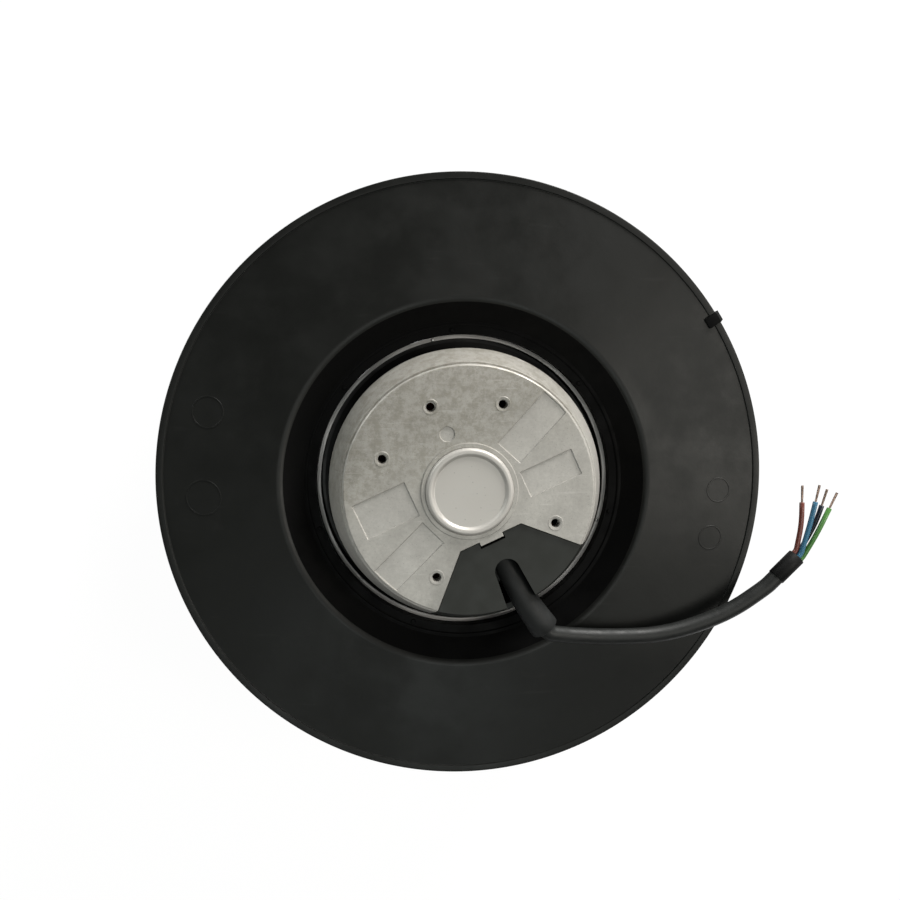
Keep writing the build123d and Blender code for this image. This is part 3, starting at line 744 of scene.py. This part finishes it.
def smooth_route(points):
    """Points on the curve that runs straight and turns in arcs at the route's corners."""
    end_share = 0.9
    inner_share = 0.45
    steps = 8
    places = [Vector(p) for p in points]
    made = [places[0]]
    for last, corner, following in zip(places, places[1:], places[2:]):
        back = last - corner
        on = following - corner
        reach = min(back.length * (end_share if last is places[0] else inner_share),
                    on.length * (end_share if following is places[-1] else inner_share))
        start = corner + back.normalized() * reach
        end = corner + on.normalized() * reach
        for k in range(steps + 1):
            t = k / steps
            made.append(start * (1 - t) ** 2 + corner * 2 * t * (1 - t) + end * t ** 2)
    made.append(places[-1])
    return made


def way(start, end, distance):
    """The point at a distance from one point towards another."""
    return Vector(start) + (Vector(end) - Vector(start)).normalized() * distance


class FAN_OT_cable(bpy.types.Operator):
    """Lay the cable, its two sleeves and its four stripped leads."""

    bl_idname = "fan.cable"
    bl_label = "Cable and leads"

    def execute(self, context):
        given = context.scene.fan_cable
        jacket = cable_rubber("Cable jacket", given.jacket_color, 0.5, 0.0001)
        sleeve_rubber = cable_rubber("Exit sleeve", given.sleeve_color, 0.62, 0.00025)
        end_rubber = cable_rubber("End sleeve", given.end_color, 0.6, 0.0002, 0.16)
        cable = self.cable(context, given, jacket)
        first, second, corner = CABLE_ROUTE[:TIGHT_BEND + 1]
        mouth = way(corner, second, given.sleeve_setback)
        bore = given.cable_radius + SEAT_GAP
        bm = tube_mesh(smooth_route((first, second, mouth)), given.sleeve_radius, bore,
                       mouth=given.sleeve_mouth)
        on_cable = [solid("exit_sleeve", bm, sleeve_rubber, STATOR, ["cable_sleeve"],
                          50)]
        before, end = CABLE_ROUTE[-2:]
        tail = way(end, before, given.end_sleeve_length)
        run = [tail, tail.lerp(Vector(end), 0.5), Vector(end)]
        bm = tube_mesh(run, given.end_sleeve_radius, bore, rounding=0.00015)
        on_cable.append(solid("end_sleeve", bm, end_rubber, STATOR, ["cable_end_sleeve"],
                              50))
        on_cable += self.leads(given)
        self.run_length(cable)
        return {"FINISHED"}

    def cable(self, context, given, material):
        """The cable as a curve through the route, held close to its tight bend."""
        corner = CABLE_ROUTE[TIGHT_BEND]
        before_sleeve = given.end_sleeve_length + 0.001
        route = list(CABLE_ROUTE[:TIGHT_BEND])
        route += [way(corner, CABLE_ROUTE[TIGHT_BEND - 1], BEND_HOLD), corner,
                  way(corner, CABLE_ROUTE[TIGHT_BEND + 1], BEND_HOLD)]
        route += list(CABLE_ROUTE[TIGHT_BEND + 1:])
        route.insert(-1, way(route[-1], route[-2], before_sleeve))
        curve = bpy.data.curves.new("supply_cable", "CURVE")
        curve.dimensions = "3D"
        spline = curve.splines.new("NURBS")
        spline.points.add(len(route) - 1)
        for point, place in zip(spline.points, route):
            point.co = (*place, 1.0)
        spline.order_u = 3
        spline.use_endpoint_u = True
        spline.resolution_u = 12
        curve.bevel_depth = given.cable_radius
        curve.bevel_resolution = 8
        curve.use_fill_caps = True
        curve.materials.append(material)
        piece = bpy.data.objects.new("supply_cable", curve)
        context.scene.collection.objects.link(piece)
        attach(piece, STATOR)
        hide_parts("motor_cable")
        return piece

    def run_length(self, piece):
        """The cable's length along its own line."""
        flat = piece.copy()
        flat.data = piece.data.copy()
        flat.data.bevel_depth = 0
        mesh = flat.to_mesh()
        total = sum((mesh.vertices[e.vertices[0]].co - mesh.vertices[e.vertices[1]].co).length
                    for e in mesh.edges)
        flat.to_mesh_clear()
        bpy.data.objects.remove(flat)
        return round(total, 4)

    def leads(self, given):
        """The four leads and their bare strands, with the yellow stripe on the green one."""
        colors = {
            "brown": lead_plastic("Brown lead", (0.17, 0.045, 0.032, 1.0)),
            "blue": lead_plastic("Blue lead", (0.03, 0.15, 0.26, 1.0)),
            "black": lead_plastic("Black lead", (0.015, 0.02, 0.035, 1.0)),
            "green": lead_plastic("Green lead", (0.075, 0.235, 0.045, 1.0), (0.42, 0.47, 0.07, 1.0)),
        }
        copper = bare_copper("Copper strands", (0.42, 0.31, 0.26, 1.0))
        strands = strand_tree(copper)
        before, end = [Vector(p) for p in CABLE_ROUTE[-2:]]
        along = (end - before).normalized()
        side = Vector((-along.y, along.x, 0)).normalized()
        rise = along.cross(side)
        made = []
        for color, (across, up, middle, tip) in LEADS.items():
            start = end + side * across + rise * up
            bend = start + along * given.lead_first_run
            strip = way(tip, middle, given.strip_length)
            route = smooth_route((start, bend, middle, strip))
            bm = tube_mesh(route, given.lead_radius, sides=24, rounding=0.0001)
            made.append(solid("insulated_" + color, bm, colors[color], STATOR,
                              ["lead_" + color], 50))
            mesh = grown("strands", strands, {
                "Strands": 6, "Length": given.strip_length, "Lay radius": given.lay_radius,
                "Tip radius": given.tip_radius, "Strand radius": given.strand_radius,
                "Turns": 0.7})
            aim = (Vector(tip) - strip).to_track_quat("Z", "Y").to_matrix().to_4x4()
            mesh.transform(Matrix.Translation(strip) @ aim)
            made.append(placed("strands_" + color, mesh, copper, STATOR,
                               ["conductor_" + color], 50))
        return made


class FAN_OT_back_plate(bpy.types.Operator):
    """Mould the back plate with its rim lip, crest, beaded ledge, pips and sleeve."""

    bl_idname = "fan.back_plate"
    bl_label = "Impeller back plate"

    def execute(self, context):
        given = context.scene.fan_impeller
        plastic = impeller_plastic("Impeller plastic", given.color)
        # The recess's near-black material is painted shade for its deep hollow
        recess = recess_shade_plastic("Impeller recess shade")
        self.plate(given, plastic, recess)
        self.pips(given, recess)
        for number, (x, y, radius) in enumerate(PLATE_MARKS, start=1):
            self.mark(given, plastic, number, x, y, radius)
        return {"FINISHED"}

    def slope(self, given):
        """Rise of the plate's top from its rim to its crest, for each metre inwards."""
        return (given.rim_depth - given.crest_height) / (IMPELLER_RADIUS - given.crest_radius)

    def plate(self, given, plastic, recess):
        """The turned plate, with the recess in a near-black material that paints its shade."""
        rim = -given.rim_depth
        crest = -given.crest_height
        under = rim - given.plate_thickness
        foot = given.foot_radius
        bore = CAN_RADIUS + SEAT_GAP
        lip_width = 0.0026
        lip_top = rim + 0.0008
        bead_width = 0.0007
        bead_inner = foot - 0.0005
        bead_top = rim + 0.0006
        # From the lip inwards over the top, then down the sleeve and back out underneath
        outline = [
            (IMPELLER_RADIUS, lip_top, 0.0004),
            (IMPELLER_RADIUS - lip_width, lip_top, 0.0003),
            (IMPELLER_RADIUS - lip_width, rim + self.slope(given) * lip_width, 0.0002),
            (given.crest_radius, crest, 0.0035),
            (foot + 0.0009, rim + 0.0005, 0.0003),
            (bead_inner + bead_width, bead_top, 0.0002),
            (bead_inner, bead_top, 0.0003),
            (bead_inner, rim),
            (bore, rim),
            (bore, -given.hub_end),
            (given.hub_radius, -given.hub_end, 0.0004),
            (given.hub_radius, under, 0.0015),
            (foot + 0.0014, under, 0.0010),
            (given.crest_radius + 0.0010, crest - given.plate_thickness - 0.0004, 0.0010),
            (IMPELLER_RADIUS, under, 0.0004),
        ]
        plate = solid("back_plate", revolve_mesh(rounded_outline(outline), 288), plastic,
                      ROTOR, ["impeller_back_plate"], 40)
        plate.data.materials.append(recess)
        # Faces inside the crest's rounding take the recess's painted shade
        recess_edge = given.crest_radius - 0.0012
        for face in plate.data.polygons:
            if hypot(face.center.x, face.center.y) < recess_edge:
                face.material_index = 1

    def pips(self, given, recess):
        """A pip on the ledge at each blade."""
        circle = (CAN_RADIUS + SEAT_GAP + given.foot_radius - 0.0005) / 2
        sunk = -given.rim_depth - 0.0001
        points = [(circle * cos(radians(turn)), circle * sin(radians(turn)), sunk)
                  for turn in BLADE_ANGLES]
        # The pips take the recess's painted shade, as they stand in it
        mesh = grown("pips", pip_tree(recess),
                     {"Radius": 0.001, "Top radius": 0.0007, "Height": 0.0007}, points)
        placed("ledge_pips", mesh, recess, ROTOR, ())

    def mark(self, given, plastic, number, x, y, radius):
        """One thin raised ring, leaning with the plate's top."""
        width = 0.0006
        top = 0.00012
        root = -0.0003
        bm = revolve_mesh(rounded_outline([
            (radius - width, root), (radius - width, top, 0.0001),
            (radius, top, 0.0001), (radius, root)], 3), 64)
        out = hypot(x, y)
        slope = self.slope(given)
        height = -given.rim_depth + (IMPELLER_RADIUS - out) * slope
        lean = Matrix.Rotation(atan2(slope, 1), 4, (-y / out, x / out, 0))
        bm.transform(Matrix.Translation((x, y, height)) @ lean)
        solid("plate_mark_%d" % number, bm, plastic, ROTOR, ())


class FAN_OT_blades(bpy.types.Operator):
    """Stand the backward-curved blades between the back plate and the shroud."""

    bl_idname = "fan.blades"
    bl_label = "Impeller blades"

    def execute(self, context):
        given = context.scene.fan_impeller
        plastic = bpy.data.materials["Impeller plastic"]
        for number, turn in enumerate(BLADE_ANGLES, start=1):
            bm = self.blade(given)
            bmesh.ops.rotate(bm, verts=bm.verts, matrix=Matrix.Rotation(radians(turn), 3, "Z"))
            solid("blade_%d" % number, bm, plastic, ROTOR, ["impeller_blade_%d" % number])
        return {"FINISHED"}

    def blade(self, given):
        """One blade as a strip of sections from its leading edge to the rim."""
        inner = 0.8 * given.blade_hub_radius
        outer = IMPELLER_RADIUS + 0.004
        start = Vector((inner, 0))
        end = Vector((outer * cos(given.blade_wrap), -outer * sin(given.blade_wrap)))
        chord = (end - start).normalized()
        half = (end - start).length / 2
        bend = (half ** 2 + given.blade_bow ** 2) / (2 * given.blade_bow)
        normal = Vector((-chord.y, chord.x))
        centre = (start + end) / 2 - normal * (bend - given.blade_bow)
        first = atan2(*(start - centre).yx)
        last = atan2(*(end - centre).yx)
        bm = bmesh.new()
        rows = []
        steps = 60
        least_radius = given.blade_hub_radius + 0.0002
        most_radius = IMPELLER_RADIUS - 0.0011
        least_height = 0.0004
        for k in range(steps + 1):
            turn = first + (last - first) * k / steps
            ray = Vector((cos(turn), sin(turn)))
            middle = centre + ray * bend
            radius = middle.length
            if not least_radius <= radius <= most_radius:
                continue
            top = self.roof(given, radius)
            bottom = max(self.floor(given, radius), self.lead(given, radius))
            if top - bottom < least_height:
                continue
            corners = []
            for offset, height in ((0.5, top), (0.5, bottom), (-0.5, bottom), (-0.5, top)):
                place = middle + ray * offset * given.blade_thickness
                corners.append(bm.verts.new((place.x, place.y, height)))
            rows.append(corners)
        for a, b in zip(rows, rows[1:]):
            for k in range(4):
                n = (k + 1) % 4
                bm.faces.new((a[k], a[n], b[n], b[k]))
        bm.faces.new(rows[0])
        bm.faces.new(rows[-1][::-1])
        return bm

    def roof(self, given, radius):
        """Height of the back plate's underside."""
        drop = given.rim_depth - given.crest_height
        under = -given.rim_depth - given.plate_thickness
        turning = given.crest_radius + 0.0012
        if radius > turning:
            slope = drop / (IMPELLER_RADIUS - given.crest_radius)
            return under + slope * (IMPELLER_RADIUS - radius)
        wall = drop / (given.crest_radius - given.foot_radius)
        peak = -given.crest_height - given.plate_thickness - 0.0002
        return max(peak - (turning - radius) * wall, under)

    def floor(self, given, radius):
        """Height of the shroud's inner face."""
        slope = tan(given.shroud_slope)
        cone = -given.outlet_depth - (IMPELLER_RADIUS - radius) * slope
        reach = given.inlet_rounding
        centre = given.throat_radius + reach
        if radius > centre - reach * sin(given.shroud_slope):
            return cone
        at_corner = -given.outlet_depth - (IMPELLER_RADIUS - given.throat_radius) * slope
        drop = reach * tan((pi / 2 - given.shroud_slope) / 2)
        across = min(reach, max(0.0, centre - radius))
        return at_corner - drop + (reach ** 2 - across ** 2) ** 0.5

    def lead(self, given, radius):
        """Height of the slanted leading edge."""
        inner = given.blade_hub_radius
        outer = given.throat_radius + 0.0016
        share = (radius - inner) / (outer - inner)
        return -given.crest_height + share * (INLET_HEIGHT + given.crest_height)


class FAN_OT_shroud(bpy.types.Operator):
    """Mould the shroud with its rounded throat and inlet collar."""

    bl_idname = "fan.shroud"
    bl_label = "Impeller shroud"

    def execute(self, context):
        given = context.scene.fan_impeller
        wall = given.shroud_wall
        rise = (IMPELLER_RADIUS - given.throat_radius) * tan(given.shroud_slope)
        corner = -given.outlet_depth - rise
        lean = wall * tan((pi / 2 - given.shroud_slope) / 2)
        drop = wall / cos(given.shroud_slope)
        collar_edge = 0.0006
        outlet_edge = 0.0004
        # From the collar's edge over the throat to the outlet, then back outside
        outline = [
            (given.throat_radius, INLET_HEIGHT, collar_edge),
            (given.throat_radius, corner, given.inlet_rounding),
            (IMPELLER_RADIUS, -given.outlet_depth, outlet_edge),
            (IMPELLER_RADIUS, -given.outlet_depth - drop, outlet_edge),
            (given.throat_radius + wall, corner - lean, given.inlet_rounding - wall),
            (given.throat_radius + wall, INLET_HEIGHT, collar_edge),
        ]
        solid("inlet_shroud", revolve_mesh(rounded_outline(outline, 14), 288),
              bpy.data.materials["Impeller plastic"], ROTOR, ["impeller_shroud"],
              40)
        return {"FINISHED"}


class FAN_OT_rotor(bpy.types.Operator):
    """Dress the can, its caulked edge, the bush, the shaft and the parts inside."""

    bl_idname = "fan.rotor"
    bl_label = "Motor's rotor"

    def execute(self, context):
        given = context.scene.fan_motor
        can = can_steel("Coated can", given.can_color)
        solid("drawn_can", softened_copy("rotor_can", 0.00015), can, ROTOR, ["rotor_can"],
              30)
        self.caulking()
        steel = turned_metal("Ground steel", grey(0.55))
        spring = pressed_metal("Spring steel", grey(0.42), 0.3)
        aluminium = turned_metal("Turned aluminium", grey(0.62), 0.34)
        sheets = laminated_steel("Rotor laminations", grey(0.2))
        # The cage is painted near-black: shade in the gap under the flange's skirt, not its own
        # colour
        cage = moulded_plastic("Cage dark for shade", grey(0.008), 0.6, 0.2)
        clip = moulded_plastic("Blackened clip", grey(0.002), 0.6, 0.08)
        for node, material in (("rotor_bush", aluminium), ("rotor_shaft", steel),
                               ("shaft_retaining_ring", spring), ("rotor_core", sheets),
                               ("rotor_cage", cage), ("upper_bearing_inner_ring", steel),
                               ("lower_bearing_inner_ring", steel)):
            carried(node, material)
        solid("rim_clip", softened_copy("balance_clip", 0.00012), clip, ROTOR, ["balance_clip"])
        return {"FINISHED"}

    def caulking(self):
        """Three bright dots where the can's mouth is caulked."""
        bright = turned_metal("Bright caulking", grey(0.75))
        dot = 0.0006
        circle = CAN_RADIUS - 0.0009
        for number, turn in enumerate(map(radians, CAULK_ANGLES), start=1):
            bm = bmesh.new()
            bmesh.ops.create_uvsphere(bm, u_segments=16, v_segments=10, radius=dot)
            place = (circle * cos(turn), circle * sin(turn), CAN_MOUTH)
            bmesh.ops.translate(bm, verts=bm.verts, vec=place)
            solid("caulk_%d" % number, bm, bright, ROTOR, ())


class FAN_OT_flange(bpy.types.Operator):
    """Dress the cast flange, its threaded holes, the bearing cap and the cable cover."""

    bl_idname = "fan.flange"
    bl_label = "Motor's flange"

    def execute(self, context):
        given = context.scene.fan_motor
        casting = cast_metal("Cast flange", given.cast_color)
        solid("cast_flange", softened_copy("stator_flange", given.edge_rounding), casting,
              STATOR, ["stator_flange"], 14)
        for number, turn in enumerate(HOLE_ANGLES, start=1):
            self.land(casting, number, turn)
        self.threads(given, casting)
        self.cap(given)
        cover = moulded_plastic("Cover plastic", given.cover_color, 0.52, 0.35)
        solid("moulded_cover", softened_copy("cable_cover", 0.00018), cover, STATOR,
              ["cable_cover"], 14)
        return {"FINISHED"}

    def land(self, casting, number, turn):
        """The low ring that the tap left round one hole."""
        root = -0.0002
        bm = revolve_mesh(rounded_outline([
            (0.0020, root), (0.0020, 0.00004, 0.00004), (0.0026, 0.00012, 0.0001),
            (0.0030, root)], 3), 48)
        bm.transform(Matrix.Rotation(radians(turn), 4, "Z")
                     @ Matrix.Translation((HOLE_CIRCLE, 0, 0)))
        solid("hole_land_%d" % number, bm, casting, STATOR, ())

    def threads(self, given, casting):
        """The thread that shows at the top of each hole."""
        depth = 0.0042
        start = -depth - 0.0004
        points = [(HOLE_CIRCLE * cos(radians(turn)), HOLE_CIRCLE * sin(radians(turn)), start)
                  for turn in HOLE_ANGLES]
        mesh = grown("threads", thread_tree(casting), {
            "Hole radius": given.hole_radius - 0.00002, "Depth": depth,
            "Pitch": given.thread_pitch, "Ridge radius": 0.00017}, points)
        placed("hole_threads", mesh, casting, STATOR, ())

    def cap(self, given):
        """The pressed bearing cap with its rounded bead."""
        edge = given.cap_radius
        bead = given.cap_height
        disc = 0.0012
        seat = -0.00095
        plug = 0.01095
        plug_end = -0.003
        # From the axis out over the bead, then back in round the plug
        outline = [
            (0.0, disc),
            (edge - 0.0030, disc, 0.0006),
            (edge - 0.0021, bead, 0.0011),
            (edge - 0.0005, bead, 0.0011),
            (edge, bead - 0.0014, 0.0004),
            (edge, seat),
            (plug, seat, 0.0004),
            (plug, plug_end, 0.0003),
            (plug - disc, plug_end, 0.0003),
            (plug - disc, 0.0, 0.0006),
            (0.0, 0.0),
        ]
        metal = pressed_metal("Pressed cap", given.cap_color, 0.46, 0.3)
        solid("cap_disc", revolve_mesh(rounded_outline(outline, 10), 160), metal, STATOR,
              ["bearing_cap"], 45)


class FAN_OT_stator(bpy.types.Operator):
    """Dress the wound core, its end plates, the bearings' outer rings and the cut-out."""

    bl_idname = "fan.stator"
    bl_label = "Motor's stator"

    def execute(self, context):
        sheets = laminated_steel("Stator laminations", grey(0.22))
        copper = wound_copper("Enamelled wire", (0.16, 0.05, 0.02, 1.0))
        plates = moulded_plastic("End plates", (0.62, 0.58, 0.48, 1.0), 0.45)
        steel = turned_metal("Bearing steel", grey(0.5))
        spring = pressed_metal("Washer steel", grey(0.45), 0.3)
        shell = moulded_plastic("Cut-out shell", grey(0.03), 0.4)
        for node, material in (("stator_core", sheets), ("stator_winding", copper),
                               ("upper_end_plate", plates), ("lower_end_plate", plates),
                               ("upper_bearing_outer_ring", steel),
                               ("lower_bearing_outer_ring", steel),
                               ("preload_washer", spring), ("thermal_cutout", shell)):
            carried(node, material)
        return {"FINISHED"}


class FAN_OT_stage(bpy.types.Operator):
    """Set the camera, the pale floor and the soft studio light."""

    bl_idname = "fan.stage"
    bl_label = "Camera, floor and light"

    def execute(self, context):
        self.camera(context)
        self.floor(context)
        for settings in LAMPS:
            self.lamp(context, *settings)
        self.world(context)
        context.scene.view_settings.view_transform = "Standard"
        return {"FINISHED"}

    def camera(self, context):
        """The photograph's point of view, nearly straight above the flange."""
        camera = bpy.data.cameras.new("Camera")
        camera.lens = 36.0
        camera.sensor_width = 36.0
        camera.clip_start = 0.01
        view = bpy.data.objects.new("Camera", camera)
        right = Vector((0.99758, 0.00751, 0.06907))
        up = Vector((0.0, 0.99414, -0.10811))
        back = Vector((-0.06948, 0.10785, 0.99174))
        turned = Matrix((right, up, back)).transposed().to_4x4()
        view.matrix_world = Matrix.Translation((-0.02861, 0.04812, 0.3087)) @ turned
        context.scene.collection.objects.link(view)
        context.scene.camera = view

    def floor(self, context):
        """A wide pale floor at the inlet collar's edge."""
        bm = bmesh.new()
        bmesh.ops.create_circle(bm, cap_ends=True, segments=96, radius=6.0)
        bmesh.ops.translate(bm, verts=bm.verts, vec=(0, 0, INLET_HEIGHT))
        mesh = bpy.data.meshes.new("Floor")
        bm.to_mesh(mesh)
        bm.free()
        plane = bpy.data.objects.new("Floor", mesh)
        context.scene.collection.objects.link(plane)
        mesh.materials.append(self.floor_material())

    def floor_material(self):
        """Pale to the object, near white to the camera and in reflections, with its shadow."""
        skin = Surface("Pale floor", grey(0.8), 0.7)
        glow = skin.node("ShaderNodeEmission", Strength=1.06)
        path = skin.node("ShaderNodeLightPath")
        seen = skin.math("MAXIMUM", path.outputs["Is Camera Ray"], path.outputs["Is Glossy Ray"])
        seen = skin.math("MAXIMUM", seen, path.outputs["Is Transmission Ray"])
        blend = skin.node("ShaderNodeMixShader")
        skin.feed(blend.inputs[0], skin.math("MULTIPLY", seen, 0.9))
        skin.tree.links.new(skin.shader.outputs[0], blend.inputs[1])
        skin.tree.links.new(glow.outputs[0], blend.inputs[2])
        surface = next(n for n in skin.tree.nodes if n.type == "OUTPUT_MATERIAL")
        skin.tree.links.new(blend.outputs[0], surface.inputs["Surface"])
        return skin.material

    def lamp(self, context, name, turn, rise, power, color):
        """A square soft lamp aimed at the fan, placed by its angles round and above it."""
        turn = radians(turn)
        rise = radians(rise)
        ray = Vector((cos(turn) * cos(rise), sin(turn) * cos(rise), sin(rise)))
        light = bpy.data.lights.new(name, "AREA")
        light.size = LAMP_SIZE
        light.energy = power
        light.color = color
        lamp = bpy.data.objects.new(name, light)
        lamp.location = ray * LAMP_DISTANCE
        lamp.rotation_mode = "QUATERNION"
        lamp.rotation_quaternion = ray.to_track_quat("Z", "Y")
        lamp.visible_camera = False
        context.scene.collection.objects.link(lamp)

    def world(self, context):
        """A dim room round the lamps, pale where the camera sees it."""
        world = bpy.data.worlds.new("Studio")
        context.scene.world = world
        world.use_nodes = True
        nodes = world.node_tree.nodes
        links = world.node_tree.links
        room = nodes["Background"]
        room.inputs["Color"].default_value = (0.9, 0.92, 0.94, 1.0)
        room.inputs["Strength"].default_value = 0.06
        wall = nodes.new("ShaderNodeBackground")
        wall.inputs["Color"].default_value = (0.97, 0.97, 0.97, 1.0)
        blend = nodes.new("ShaderNodeMixShader")
        links.new(nodes.new("ShaderNodeLightPath").outputs["Is Camera Ray"], blend.inputs[0])
        links.new(room.outputs[0], blend.inputs[1])
        links.new(wall.outputs[0], blend.inputs[2])
        links.new(blend.outputs[0], nodes["World Output"].inputs["Surface"])


class FAN_PT_panel(bpy.types.Panel):
    """The fan's pieces, one button each."""

    bl_idname = "FAN_PT_panel"
    bl_label = "Centrifugal fan"
    bl_space_type = "VIEW_3D"
    bl_region_type = "UI"
    bl_category = "Fan"

    def draw(self, context):
        for settings in ("fan_impeller", "fan_motor", "fan_cable"):
            group = getattr(context.scene, settings)
            for key in group.__annotations__:
                self.layout.prop(group, key)
        for operator in OPERATORS:
            self.layout.operator(operator.bl_idname)


SETTINGS = (ImpellerSettings, MotorSettings, CableSettings)
OPERATORS = (FAN_OT_stage, FAN_OT_cable, FAN_OT_back_plate, FAN_OT_blades, FAN_OT_shroud,
             FAN_OT_rotor, FAN_OT_flange, FAN_OT_stator)


def register():
    """Register the classes and hang the settings on the scene."""
    for group in (*SETTINGS, *OPERATORS, FAN_PT_panel):
        bpy.utils.register_class(group)
    bpy.types.Scene.fan_impeller = bpy.props.PointerProperty(type=ImpellerSettings)
    bpy.types.Scene.fan_motor = bpy.props.PointerProperty(type=MotorSettings)
    bpy.types.Scene.fan_cable = bpy.props.PointerProperty(type=CableSettings)


def unregister():
    """Take the settings and the classes away again."""
    del bpy.types.Scene.fan_impeller
    del bpy.types.Scene.fan_motor
    del bpy.types.Scene.fan_cable
    for group in (FAN_PT_panel, *reversed(OPERATORS), *reversed(SETTINGS)):
        bpy.utils.unregister_class(group)


def main():
    register()
    for operator in OPERATORS:
        getattr(bpy.ops.fan, operator.bl_idname.split(".")[1])()


if __name__ == "__main__":
    main()
